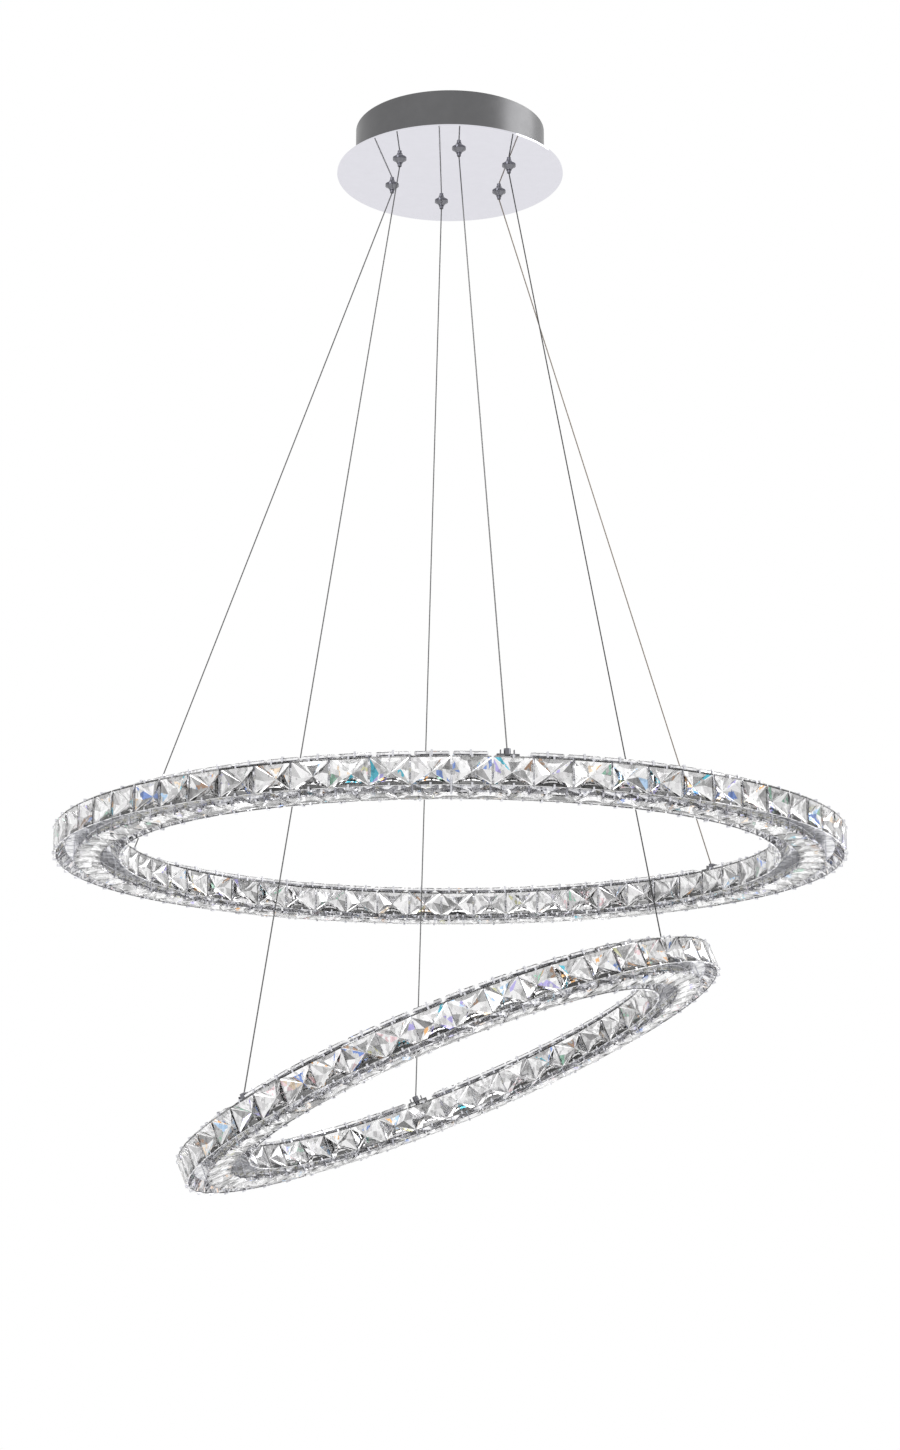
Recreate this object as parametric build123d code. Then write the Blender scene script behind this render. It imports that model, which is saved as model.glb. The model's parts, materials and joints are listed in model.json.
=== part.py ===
from build123d import *
import math
import os

os.makedirs("parts", exist_ok=True)

# A pendant light: two rings of cut crystals hung by wires from grippers on a round canopy.
# The origin is the centre of the ceiling face, +Z points up into the ceiling and -Y is the front.
# All lengths are in millimetres and all angles in degrees.

# Allowances used by several pieces
cut_overrun = 1.0
running_gap = 0.05
crystal_back_gap = 0.3
claw_gap = 0.15

# Canopy drum
drum_diameter = 178.0
drum_height = 42.0
drum_wall = 1.2
drum_flange_width = 14.0
drum_flange_thickness = 1.2

# Canopy plate, its welded studs and their nuts
plate_overhang = 17.5
plate_thickness = 1.5
plate_stud_radius = 2.0
plate_stud_length = 7.0
plate_stud_count = 3
plate_stud_azimuth = 60.0
plate_nut_flats = 7.0
plate_nut_height = 3.2

# Ceiling bracket
bracket_strip_width = 24.0
bracket_thickness = 2.0
bracket_ear_width = 20.0
bracket_ear_drop = 22.0
bracket_drum_gap = 0.6
bracket_slot_spacing = 100.0
bracket_slot_length = 18.0
bracket_slot_width = 5.0
bracket_cable_hole_radius = 5.0

# Set screws between drum and bracket
set_screw_radius = 2.0
set_screw_length = 6.0
set_screw_drop = 12.0
set_screw_socket_flats = 2.0
set_screw_socket_depth = 2.2

# LED driver on the canopy plate
driver_end_distance = 19.8
driver_side_distance = 6.4
driver_height = 18.0
driver_wall = 1.5
driver_corner_radius = 3.0
driver_lid_thickness = 1.5
driver_lid_lip_depth = 2.0
driver_tab_length = 9.0
driver_tab_width = 14.0
driver_tab_thickness = 2.0
driver_stud_radius = 1.5
driver_stud_length = 6.0
driver_nut_flats = 5.5
driver_nut_height = 2.4
driver_cable_hole_radius = 2.5
board_thickness = 1.6
board_edge_gap = 1.0
board_post_height = 3.0
board_post_radius = 2.0
transformer_length = 22.0
transformer_edge_distance = 5.5
transformer_height = 8.0
capacitor_radius = 4.0
capacitor_height = 7.0

# Terminal block under the bracket
terminal_end_wall = 0.5
terminal_width = 18.0
terminal_height = 14.0
terminal_pole_pitch = 9.0
terminal_pole_count = 3
terminal_wire_hole_radius = 1.8
terminal_screw_radius = 1.4
terminal_screw_length = 3.5
terminal_screw_spacing = 9.0
terminal_well_depth = 6.0

# Suspension wires
wire_radius = 0.6
wire_tail_length = 3.0
wire_mouth_bend_radius = 3.0

# Cable grippers in a hexagon on the canopy plate
gripper_flange_distance = 14.3
gripper_count = 6
gripper_first_azimuth = -82.0
gripper_shank_wall = 1.0
gripper_shank_length = 16.0
gripper_flange_width = 2.7
gripper_flange_thickness = 1.0
gripper_flange_step = 0.8
gripper_neck_wall = 0.6
gripper_cone_length = 3.4
gripper_neck_length = 0.7
gripper_seat_start = 1.0
gripper_seat_length = 4.5
gripper_nut_wall = 1.5
gripper_nut_height = 3.0
plunger_bore_gap = 0.1
plunger_stem_wall = 1.2
plunger_jaw_taper = 0.7
plunger_chamber_gap = 0.1
plunger_exposed_length = 2.9
plunger_mouth_flare = 0.6
plunger_mouth_depth = 1.6
plunger_tip_fillet = 0.4
plunger_jaw_slot_width = 0.5
plunger_jaw_slot_depth = 3.5
plunger_jaw_count = 3
plug_height = 4.0
plug_bore_gap = 0.3
spring_side_gap = 0.45
spring_wire_radius = 0.25
spring_turns = 5

# Rings: outside diameters over the crystals, and how far they hang below the ceiling
large_ring_diameter = 700.0
large_ring_drop = 690.0
small_ring_diameter = 500.0
small_ring_drop = 883.5
small_ring_tilt = 22.2
small_ring_high_side_azimuth = -10.2

# Ring frame: a channel closed by a cover plate
frame_width = 39.0
frame_height = 12.6
frame_wall = 1.2
feed_hole_radius = 3.0
led_strip_thickness = 1.4
led_strip_side_height = 8.0
led_strip_face_width = 10.0

# Crystals
crystal_width = 30.0
crystal_height = 22.8
crystal_depth = 8.8
crystal_bevel_inset = 1.1
crystal_bevel_depth = 0.9
crystal_girdle = 1.6
crystal_least_gap = 0.58
crystal_face_row_gap = 0.7
crystal_side_row_drop = 2.2

# Claws that hold each crystal at the middle of two edges
claw_width = 1.6
claw_thickness = 0.8
claw_foot_length = 3.0
claw_lip_reach = 1.5

# Wire brackets on the rings
bridge_width = 18.0
bridge_depth = 10.0
bridge_thickness = 1.0
bridge_height = 10.1
bridge_foot_length = 2.5
bridge_tab_offset = 5.4
bridge_tab_thickness = 0.8
bridge_tab_height = 4.0
bridge_tab_depth = 3.0

# Knurled bushings in the wire brackets
bushing_wire_lean_gap = 0.8
bushing_ball_gap = 0.1
bushing_wall = 0.4
bushing_head_step = 0.6
bushing_rim = 0.4
bushing_head_height = 5.0
bushing_head_sides = 16
bushing_spigot_length = 3.0
bushing_neck_height = 1.2

# Ball terminals crimped on the wires
ball_seat_width = 0.3
ball_flat_depth = 0.15

# Canopy levels and radii that follow from the sizes above
plate_top = -drum_height
plate_bottom = plate_top - plate_thickness
plate_radius = drum_diameter / 2 + plate_overhang
drum_inner_radius = drum_diameter / 2 - drum_wall
flange_inner_radius = drum_inner_radius - drum_flange_width
flange_middle_radius = drum_inner_radius - drum_flange_width / 2
terminal_length = terminal_pole_count * terminal_pole_pitch + 2 * terminal_end_wall
bracket_slot_start = (bracket_slot_spacing - bracket_slot_length) / 2
bracket_cable_hole_offset = (terminal_length / 2 + bracket_slot_start) / 2

# Gripper radii, from the wire outwards
plunger_bore_radius = wire_radius + plunger_bore_gap
plunger_mouth_radius = plunger_bore_radius + plunger_mouth_flare
plunger_stem_radius = plunger_bore_radius + plunger_stem_wall
plunger_head_radius = plunger_stem_radius + plunger_jaw_taper
plug_bore_radius = wire_radius + plug_bore_gap
gripper_chamber_radius = plunger_head_radius + plunger_chamber_gap
gripper_shank_radius = gripper_chamber_radius + gripper_shank_wall
gripper_flange_radius = gripper_shank_radius + gripper_flange_width
gripper_cone_top_radius = gripper_flange_radius - gripper_flange_step
gripper_cone_bottom_radius = plunger_stem_radius + running_gap + gripper_neck_wall
gripper_nut_flats = 2 * (gripper_shank_radius + gripper_nut_wall)
gripper_nut_corner = gripper_nut_flats / math.sqrt(3)
gripper_circle_radius = flange_inner_radius - gripper_flange_distance
spring_mean_radius = gripper_chamber_radius - spring_side_gap - spring_wire_radius

# Driver and board, between the grippers and inside the drum's flange
driver_azimuth = gripper_first_azimuth + 90.0
gripper_half_spacing = gripper_circle_radius * math.sin(math.pi / gripper_count)
driver_length = 2 * (flange_inner_radius - driver_tab_length - driver_end_distance)
driver_width = 2 * (gripper_half_spacing - gripper_nut_corner - driver_side_distance)
driver_stud_offset = (driver_length + driver_tab_length) / 2
board_length = driver_length - 2 * (driver_wall + board_edge_gap)
board_width = driver_width - 2 * (driver_wall + board_edge_gap)
board_post_offset_x = board_length / 2 - 2 * board_post_radius
board_post_offset_y = board_width / 2 - 2 * board_post_radius
transformer_width = board_width - 2 * transformer_edge_distance

# Ball and bushing radii, from the wire outwards
bushing_neck_radius = wire_radius + bushing_wire_lean_gap
ball_radius = bushing_neck_radius + ball_seat_width
bushing_bore_radius = ball_radius + bushing_ball_gap
bushing_spigot_radius = bushing_bore_radius + bushing_wall
bushing_head_radius = bushing_spigot_radius + bushing_head_step
bushing_flare_radius = bushing_head_radius - bushing_rim

# Levels below the canopy and across a ring's section
mouth_level = plate_bottom - gripper_flange_thickness - gripper_cone_length - gripper_neck_length
mouth_level = mouth_level - plunger_exposed_length
crystal_stand_off = led_strip_thickness + crystal_back_gap + crystal_depth
section_half_width = frame_width / 2 + crystal_stand_off
section_half_height = frame_height / 2 + crystal_stand_off
bridge_top = frame_height / 2 + bridge_height
bushing_top = bridge_top + bushing_head_height
ball_seat_rise = math.sqrt(ball_radius ** 2 - bushing_neck_radius ** 2)
ball_level = bushing_top - bushing_neck_height - ball_seat_rise - running_gap


def at_azimuth(radius, azimuth, level=0.0):
    """A point at a radius, an azimuth from +X towards +Y, and a level."""
    angle = math.radians(azimuth)
    return Vector(radius * math.cos(angle), radius * math.sin(angle), level)


def evenly_round(count, first=0.0):
    """Azimuths of copies spaced evenly round a full turn."""
    return [first + 360.0 * index / count for index in range(count)]


def turned(points):
    """A solid of revolution about Z from an outline of (radius, level) points."""
    return revolve(Plane.XZ * Polygon(*points, align=None), axis=Axis.Z)


def post(radius, bottom, top):
    """An upright round post on the Z axis."""
    return Pos(0, 0, bottom) * Cylinder(radius, top - bottom, align=(Align.CENTER, Align.CENTER, Align.MIN))


def hex_nut(flats, height, bore_radius):
    """A hexagon nut standing on the XY plane."""
    blank = extrude(RegularPolygon(flats / 2, 6, major_radius=False), amount=height)
    return blank - post(bore_radius, -cut_overrun, height + cut_overrun)


def save(node, pieces):
    """Writes one node from a list of separate solids."""
    solids = [solid for piece in pieces for solid in piece.solids()]
    shape = solids[0] if len(solids) == 1 else Compound(children=solids)
    export_step(shape, f"parts/{node}.step")


# Canopy


def make_drum():
    """The open drum with its inward flange and two set screw holes."""
    outside = drum_diameter / 2
    shell = turned([
        (outside, 0.0),
        (drum_inner_radius, 0.0),
        (drum_inner_radius, plate_top + drum_flange_thickness),
        (flange_inner_radius, plate_top + drum_flange_thickness),
        (flange_inner_radius, plate_top),
        (outside, plate_top),
    ])
    for azimuth in evenly_round(plate_stud_count, plate_stud_azimuth):
        hole = post(plate_stud_radius + running_gap, plate_top - cut_overrun, 0.0)
        shell -= Pos(at_azimuth(flange_middle_radius, azimuth)) * hole
    return shell - set_screw_hole()


def set_screw_hole():
    """One bore along X that both set screws share."""
    bore = Cylinder(set_screw_radius, drum_diameter + cut_overrun)
    return Pos(0, 0, -set_screw_drop) * Rot(0, 90, 0) * bore


def make_set_screw(side):
    """A socket set screw, flush with the outside of the drum."""
    outside = drum_diameter / 2
    flush = math.sqrt(outside ** 2 - set_screw_radius ** 2)
    screw = post(set_screw_radius - running_gap, -set_screw_length, 0.0)
    socket = RegularPolygon(set_screw_socket_flats / 2, 6, major_radius=False)
    screw -= extrude(socket, amount=-set_screw_socket_depth)
    return Pos(side * flush, 0, -set_screw_drop) * Rot(0, side * 90, 0) * screw


def make_plate():
    """The mirror disc with its gripper holes and welded studs."""
    disc = post(plate_radius, plate_bottom, plate_top)
    for azimuth in gripper_azimuths:
        hole = post(gripper_shank_radius + running_gap, plate_bottom - cut_overrun, plate_top + cut_overrun)
        disc -= Pos(at_azimuth(gripper_circle_radius, azimuth)) * hole
    for azimuth in evenly_round(plate_stud_count, plate_stud_azimuth):
        stud = post(plate_stud_radius, plate_top, plate_top + plate_stud_length)
        disc += Pos(at_azimuth(flange_middle_radius, azimuth)) * stud
    for side in (-1, 1):
        stud = post(driver_stud_radius, plate_top, plate_top + driver_stud_length)
        disc += Pos(at_azimuth(side * driver_stud_offset, driver_azimuth)) * stud
    return disc


def make_plate_nuts():
    """The nuts that clamp the drum's flange to the plate."""
    nut = hex_nut(plate_nut_flats, plate_nut_height, plate_stud_radius + running_gap)
    level = plate_top + drum_flange_thickness
    azimuths = evenly_round(plate_stud_count, plate_stud_azimuth)
    return [Pos(at_azimuth(flange_middle_radius, azimuth, level)) * nut for azimuth in azimuths]


def make_ceiling_bracket():
    """The slotted strip against the ceiling with an ear at each end."""
    reach = math.sqrt(drum_inner_radius ** 2 - (bracket_ear_width / 2) ** 2) - bracket_drum_gap
    strip = Pos(0, 0, -bracket_thickness / 2) * Box(2 * reach, bracket_strip_width, bracket_thickness)
    for side in (-1, 1):
        ear = Box(bracket_thickness, bracket_ear_width, bracket_ear_drop)
        strip += Pos(side * (reach - bracket_thickness / 2), 0, -bracket_ear_drop / 2) * ear
        slot = SlotOverall(bracket_slot_length, bracket_slot_width)
        slot = extrude(slot, amount=bracket_thickness, both=True)
        strip -= Pos(side * bracket_slot_spacing / 2, 0, 0) * slot
        hole = post(bracket_cable_hole_radius, -bracket_thickness - cut_overrun, cut_overrun)
        strip -= Pos(side * bracket_cable_hole_offset, 0, 0) * hole
    return strip - set_screw_hole()


# Driver and terminal block


def rounded_block(length, width, height, radius):
    """A block with rounded upright edges, standing on the XY plane."""
    return extrude(RectangleRounded(length, width, radius), amount=height)


def on_plate(piece, height=0.0):
    """Sets a piece of the driver on the plate, turned to lie between the grippers."""
    return Pos(0, 0, plate_top + height) * Rot(0, 0, driver_azimuth) * piece


def make_driver_case():
    """The open driver case with a mounting tab at each end."""
    inside = (driver_length - 2 * driver_wall, driver_width - 2 * driver_wall)
    case = rounded_block(driver_length, driver_width, driver_height, driver_corner_radius)
    hollow = rounded_block(*inside, driver_height, driver_corner_radius - driver_wall)
    case -= Pos(0, 0, driver_wall) * hollow
    tab = Pos(0, 0, driver_tab_thickness / 2) * Box(driver_tab_length, driver_tab_width, driver_tab_thickness)
    tab -= post(driver_stud_radius + running_gap, -cut_overrun, driver_tab_thickness + cut_overrun)
    board_post = post(board_post_radius, driver_wall, driver_wall + board_post_height)
    for side in (-1, 1):
        case += Pos(side * driver_stud_offset, 0, 0) * tab
        for post_side in (-1, 1):
            case += Pos(side * board_post_offset_x, post_side * board_post_offset_y, 0) * board_post
        mouth = Pos(side * driver_length / 2, 0, driver_height / 2) * Rot(0, 90, 0)
        case -= mouth * Cylinder(driver_cable_hole_radius, 2 * driver_wall + cut_overrun)
    return on_plate(case)


def make_driver_lid():
    """The driver's lid with a lip that drops inside the case."""
    lid = rounded_block(driver_length, driver_width, driver_lid_thickness, driver_corner_radius)
    lip_inset = 2 * (driver_wall + running_gap)
    lip_radius = driver_corner_radius - driver_wall
    lip = rounded_block(driver_length - lip_inset, driver_width - lip_inset, driver_lid_lip_depth, lip_radius)
    hollow_inset = lip_inset + 2 * driver_wall
    hollow = Box(driver_length - hollow_inset, driver_width - hollow_inset, 2 * driver_lid_lip_depth)
    lid += Pos(0, 0, -driver_lid_lip_depth) * (lip - hollow)
    return on_plate(lid, driver_height)


def make_driver_board():
    """The circuit board on its posts, with transformer and capacitors."""
    board = Pos(0, 0, board_thickness / 2) * Box(board_length, board_width, board_thickness)
    transformer = Box(transformer_length, transformer_width, transformer_height)
    board += Pos(0, 0, board_thickness + transformer_height / 2) * transformer
    capacitor = post(capacitor_radius, board_thickness, board_thickness + capacitor_height)
    for side in (-1, 1):
        board += Pos(side * (transformer_length + board_length) / 4, 0, 0) * capacitor
    return on_plate(board, driver_wall + board_post_height)


def make_driver_nuts():
    """The two nuts that hold the driver on the plate's studs."""
    nut = hex_nut(driver_nut_flats, driver_nut_height, driver_stud_radius + running_gap)
    return [on_plate(Pos(side * driver_stud_offset, 0, 0) * nut, driver_tab_thickness) for side in (-1, 1)]


def make_terminal_block():
    """The terminal block with its wire holes and screw wells."""
    block = Pos(0, 0, terminal_height / 2) * Box(terminal_length, terminal_width, terminal_height)
    for pole in terminal_poles:
        bore = Pos(pole, 0, terminal_height / 2) * Rot(90, 0, 0)
        block -= bore * Cylinder(terminal_wire_hole_radius, terminal_width + cut_overrun)
        for side in (-1, 1):
            well = post(terminal_screw_radius + running_gap, 0.0, terminal_well_depth)
            block -= Pos(pole, side * terminal_screw_spacing / 2, 0) * well
    return Pos(0, 0, -bracket_thickness - terminal_height) * block


def make_terminal_screws():
    """The clamping screws in the terminal block's wells."""
    level = -bracket_thickness - terminal_height + terminal_well_depth - terminal_screw_length
    screw = post(terminal_screw_radius, 0.0, terminal_screw_length)
    slot = Box(2 * terminal_screw_radius + cut_overrun, terminal_screw_radius / 2, terminal_screw_radius)
    screw -= slot
    places = [(pole, side * terminal_screw_spacing / 2) for pole in terminal_poles for side in (-1, 1)]
    return [Pos(x, y, level) * screw for x, y in places]


# Cable grippers, drawn on the Z axis with the plate's underside at level zero


def make_gripper_body():
    """The flanged body with its threaded shank, conical jaw seat and spring chamber."""
    cone_top = -gripper_flange_thickness
    cone_bottom = cone_top - gripper_cone_length
    neck_bottom = cone_bottom - gripper_neck_length
    stem_bore = plunger_stem_radius + running_gap
    seat_top = gripper_seat_length - gripper_seat_start
    return turned([
        (gripper_shank_radius, gripper_shank_length),
        (gripper_shank_radius, 0.0),
        (gripper_flange_radius, 0.0),
        (gripper_flange_radius, cone_top),
        (gripper_cone_top_radius, cone_top),
        (gripper_cone_bottom_radius, cone_bottom),
        (gripper_cone_bottom_radius, neck_bottom),
        (stem_bore, neck_bottom),
        (stem_bore, -gripper_seat_start),
        (plunger_head_radius + running_gap, seat_top),
        (gripper_chamber_radius, seat_top),
        (gripper_chamber_radius, gripper_shank_length),
    ])


def make_plunger():
    """The plunger tube with its flared mouth and slotted conical jaws."""
    tip = mouth_level - plate_bottom
    seat_top = gripper_seat_length - gripper_seat_start
    tube = turned([
        (plunger_mouth_radius, tip),
        (plunger_stem_radius, tip),
        (plunger_stem_radius, -gripper_seat_start),
        (plunger_head_radius, seat_top),
        (plunger_bore_radius, seat_top),
        (plunger_bore_radius, tip + plunger_mouth_depth),
    ])
    rim = tube.edges().filter_by(GeomType.CIRCLE).group_by(Axis.Z)[0].sort_by(SortBy.RADIUS)[-1]
    tube = fillet(rim, plunger_tip_fillet)
    for azimuth in evenly_round(plunger_jaw_count):
        slot = Box(gripper_chamber_radius, plunger_jaw_slot_width, 2 * plunger_jaw_slot_depth,
                   align=(Align.MIN, Align.CENTER, Align.CENTER))
        tube -= Pos(0, 0, seat_top) * Rot(0, 0, azimuth) * slot
    return tube


def make_spring():
    """The return spring between the plunger's head and the plug."""
    bottom = gripper_seat_length - gripper_seat_start + spring_wire_radius + running_gap
    top = gripper_shank_length - plug_height - spring_wire_radius - running_gap
    coil = Helix((top - bottom) / spring_turns, top - bottom, spring_mean_radius)
    profile = Plane(coil @ 0, z_dir=coil % 0) * Circle(spring_wire_radius)
    return Pos(0, 0, bottom) * sweep(profile, path=coil, is_frenet=True)


def make_plug():
    """The threaded plug that closes the spring chamber round the wire."""
    bottom = gripper_shank_length - plug_height
    plug = post(gripper_chamber_radius - running_gap, bottom, gripper_shank_length)
    return plug - post(plug_bore_radius, bottom - cut_overrun, gripper_shank_length + cut_overrun)


def make_gripper_nuts():
    """The nuts that clamp the grippers to the plate."""
    nut = hex_nut(gripper_nut_flats, gripper_nut_height, gripper_shank_radius + running_gap)
    return [Pos(at_azimuth(gripper_circle_radius, azimuth, plate_top)) * nut for azimuth in gripper_azimuths]


# Crystals and claws, drawn with the crystal's table on the XY plane facing +Z


def rectangle_loop(half_width, half_height, level):
    """Four corners of a rectangle, anticlockwise seen from above."""
    corners = ((-half_width, -half_height), (half_width, -half_height),
               (half_width, half_height), (-half_width, half_height))
    return [Vector(x, y, level) for x, y in corners]


def make_crystal(width):
    """A flat-topped crystal with bevelled table, girdle and four-sided pointed back."""
    half_width = width / 2
    half_height = crystal_height / 2
    table = rectangle_loop(half_width - crystal_bevel_inset, half_height - crystal_bevel_inset, 0.0)
    rim = rectangle_loop(half_width, half_height, -crystal_bevel_depth)
    girdle = rectangle_loop(half_width, half_height, -crystal_bevel_depth - crystal_girdle)
    point = Vector(0, 0, -crystal_depth)
    loops = [table]
    for index in range(4):
        after = (index + 1) % 4
        loops.append([table[index], rim[index], rim[after], table[after]])
        loops.append([rim[index], girdle[index], girdle[after], rim[after]])
        loops.append([girdle[index], point, girdle[after]])
    return Solid(Shell([Face(Wire.make_polygon(loop)) for loop in loops]))


def claw_from_outline(outline):
    """A bent claw from an outline of (across, outward) points."""
    return extrude(Plane.YZ * Polygon(*outline, align=None), amount=claw_width / 2, both=True)


def make_side_claw(face):
    """A claw from a wide face of the frame, so far from the crystal's middle, round to a side crystal."""
    frame_edge = -crystal_stand_off
    inside = crystal_height / 2 + claw_gap
    outside = inside + claw_thickness
    front = claw_gap + claw_thickness
    lip = crystal_height / 2 - claw_lip_reach
    elbow = -crystal_bevel_depth - crystal_girdle
    return claw_from_outline([
        (face, frame_edge - claw_foot_length),
        (face, frame_edge),
        (inside, elbow),
        (inside, claw_gap),
        (lip, claw_gap),
        (lip, front),
        (outside, front),
        (outside, elbow),
        (face + claw_thickness, frame_edge - claw_thickness / 2),
        (face + claw_thickness, frame_edge - claw_foot_length),
    ])


def make_face_claw():
    """A claw that stands on a wide face of the frame beside its crystal."""
    foot = -crystal_stand_off
    inside = crystal_height / 2 + claw_gap
    front = claw_gap + claw_thickness
    lip = crystal_height / 2 - claw_lip_reach
    return claw_from_outline([
        (inside, foot),
        (inside, claw_gap),
        (lip, claw_gap),
        (lip, front),
        (inside + claw_thickness, front),
        (inside + claw_thickness, foot),
    ])


def make_side_claws():
    """The upper and the lower claw of a side crystal, which hangs a little below the frame's middle."""
    upper = make_side_claw(frame_height / 2 + crystal_side_row_drop)
    lower = make_side_claw(frame_height / 2 - crystal_side_row_drop)
    return [upper, lower.mirror(Plane.XZ)]


def make_face_claws():
    """The two claws of a crystal on a wide face of the frame."""
    claw = make_face_claw()
    return [claw, claw.mirror(Plane.XZ)]


class CrystalRing:
    """One ring: a channel frame with its cover, LED strips, crystals, claws and wire brackets."""

    def __init__(self, diameter, location, anchors):
        self.table_radius = diameter / 2
        self.middle_radius = diameter / 2 - section_half_width
        self.frame_outside = self.middle_radius + frame_width / 2
        self.frame_inside = self.middle_radius - frame_width / 2
        self.location = location
        self.anchors = anchors
        self.outer_count = self.crystals_round(self.table_radius)
        self.inner_count = self.crystals_round(self.table_radius - 2 * section_half_width)
        narrowest = self.middle_radius - crystal_height / 2
        pitch = 2 * narrowest * math.tan(math.pi / self.outer_count)
        self.face_crystal_width = pitch - crystal_face_row_gap

    def crystals_round(self, radius):
        """How many crystals go round a radius, the same number between each two wires."""
        length_between_wires = 2 * math.pi * radius / len(self.anchors)
        return len(self.anchors) * math.floor(length_between_wires / (crystal_width + crystal_least_gap))

    def make_channel(self):
        """The rolled channel: bottom wall and two side walls."""
        bottom = -frame_height / 2
        top = frame_height / 2 - frame_wall
        return turned([
            (self.frame_inside, bottom),
            (self.frame_outside, bottom),
            (self.frame_outside, top),
            (self.frame_outside - frame_wall, top),
            (self.frame_outside - frame_wall, bottom + frame_wall),
            (self.frame_inside + frame_wall, bottom + frame_wall),
            (self.frame_inside + frame_wall, top),
            (self.frame_inside, top),
        ])

    def make_cover(self):
        """The flat cover plate with a feed hole under each wire bracket."""
        bottom = frame_height / 2 - frame_wall
        top = frame_height / 2
        plate = turned([
            (self.frame_inside, bottom),
            (self.frame_outside, bottom),
            (self.frame_outside, top),
            (self.frame_inside, top),
        ])
        for anchor in self.anchors:
            hole = post(feed_hole_radius, bottom - cut_overrun, top + cut_overrun)
            plate -= Pos(at_azimuth(self.middle_radius, anchor)) * hole
        return plate

    def make_led_strips(self):
        """Strips behind the four rows of crystals, the upper one in three arcs between the brackets."""
        side = Rectangle(led_strip_thickness, led_strip_side_height)
        face = Rectangle(led_strip_face_width, led_strip_thickness)
        outer_radius = self.frame_outside + led_strip_thickness / 2
        inner_radius = self.frame_inside - led_strip_thickness / 2
        level = (frame_height + led_strip_thickness) / 2
        strips = [
            revolve(Plane.XZ * Pos(outer_radius, 0) * side, axis=Axis.Z),
            revolve(Plane.XZ * Pos(inner_radius, 0) * side, axis=Axis.Z),
            revolve(Plane.XZ * Pos(self.middle_radius, -level) * face, axis=Axis.Z),
        ]
        bracket_angle = math.degrees(self.bracket_slot_width() / self.middle_radius)
        arc = 360.0 / len(self.anchors) - bracket_angle
        top_strip = revolve(Plane.XZ * Pos(self.middle_radius, level) * face, axis=Axis.Z, revolution_arc=arc)
        return strips + [Rot(0, 0, anchor + bracket_angle / 2) * top_strip for anchor in self.anchors]

    def bracket_slot_width(self):
        """The clear width left for a wire bracket where a crystal is omitted."""
        return bridge_width + 2 * bridge_foot_length + 2 * claw_width

    def outer_places(self):
        """Locations of the crystals that face outwards."""
        places = []
        for azimuth in evenly_round(self.outer_count, self.anchors[0]):
            outward = at_azimuth(1, azimuth)
            along = at_azimuth(1, azimuth + 90)
            origin = at_azimuth(self.table_radius, azimuth, -crystal_side_row_drop)
            places.append(Plane(origin, x_dir=along, z_dir=outward).location)
        return places

    def inner_places(self):
        """Locations of the crystals that face the ring's centre."""
        places = []
        radius = self.table_radius - 2 * section_half_width
        for azimuth in evenly_round(self.inner_count, self.anchors[0]):
            inward = at_azimuth(-1, azimuth)
            along = at_azimuth(-1, azimuth + 90)
            origin = at_azimuth(radius, azimuth, -crystal_side_row_drop)
            places.append(Plane(origin, x_dir=along, z_dir=inward).location)
        return places

    def top_places(self):
        """Locations of the crystals on top, one left out at each wire bracket."""
        places = []
        for index, azimuth in enumerate(evenly_round(self.outer_count, self.anchors[0])):
            if index % (self.outer_count // len(self.anchors)) == 0:
                continue
            origin = at_azimuth(self.middle_radius, azimuth, section_half_height)
            places.append(Plane(origin, x_dir=at_azimuth(1, azimuth + 90), z_dir=(0, 0, 1)).location)
        return places

    def bottom_places(self):
        """Locations of the crystals underneath, half a step round from the outer row."""
        places = []
        half_step = 180.0 / self.outer_count
        for azimuth in evenly_round(self.outer_count, self.anchors[0] + half_step):
            origin = at_azimuth(self.middle_radius, azimuth, -section_half_height)
            places.append(Plane(origin, x_dir=at_azimuth(1, azimuth + 90), z_dir=(0, 0, -1)).location)
        return places

    def make_claws(self):
        """Two claws for every crystal of the four rows."""
        side_claws = make_side_claws()
        face_claws = make_face_claws()
        claws = [place * claw for place in self.outer_places() + self.inner_places() for claw in side_claws]
        claws += [place * claw for place in self.top_places() + self.bottom_places() for claw in face_claws]
        return claws

    def make_bridges(self):
        """The wire brackets: bridges with feet and two upturned tabs."""
        half = bridge_width / 2
        face = frame_height / 2
        leg = half - bridge_thickness
        foot = half + bridge_foot_length
        outline = [(-foot, face), (-leg, face), (-leg, bridge_top - bridge_thickness),
                   (leg, bridge_top - bridge_thickness), (leg, face), (foot, face),
                   (foot, face + bridge_thickness), (half, face + bridge_thickness), (half, bridge_top),
                   (-half, bridge_top), (-half, face + bridge_thickness), (-foot, face + bridge_thickness)]
        bridge = extrude(Plane.YZ * Polygon(*outline, align=None), amount=bridge_depth / 2, both=True)
        for side in (-1, 1):
            tab = Pos(0, side * bridge_tab_offset, bridge_top + bridge_tab_height / 2)
            bridge += tab * Box(bridge_tab_depth, bridge_tab_thickness, bridge_tab_height)
        bridge -= post(bushing_spigot_radius + running_gap, bridge_top - bridge_thickness - cut_overrun,
                       bridge_top + cut_overrun)
        return [self.anchor_location(anchor) * bridge for anchor in self.anchors]

    def make_bushings(self):
        """The knurled bushings that hold the wires' ball terminals."""
        head = extrude(RegularPolygon(bushing_head_radius, bushing_head_sides), amount=bushing_head_height)
        spigot_bottom = bridge_top - bushing_spigot_length
        neck_bottom = bushing_top - bushing_neck_height
        bushing = Pos(0, 0, bridge_top) * head + post(bushing_spigot_radius, spigot_bottom, bridge_top)
        bushing -= turned([
            (0.0, spigot_bottom - cut_overrun),
            (bushing_bore_radius, spigot_bottom - cut_overrun),
            (bushing_bore_radius, neck_bottom),
            (bushing_neck_radius, neck_bottom),
            (bushing_flare_radius, bushing_top),
            (0.0, bushing_top),
        ])
        return [self.anchor_location(anchor) * bushing for anchor in self.anchors]

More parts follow.
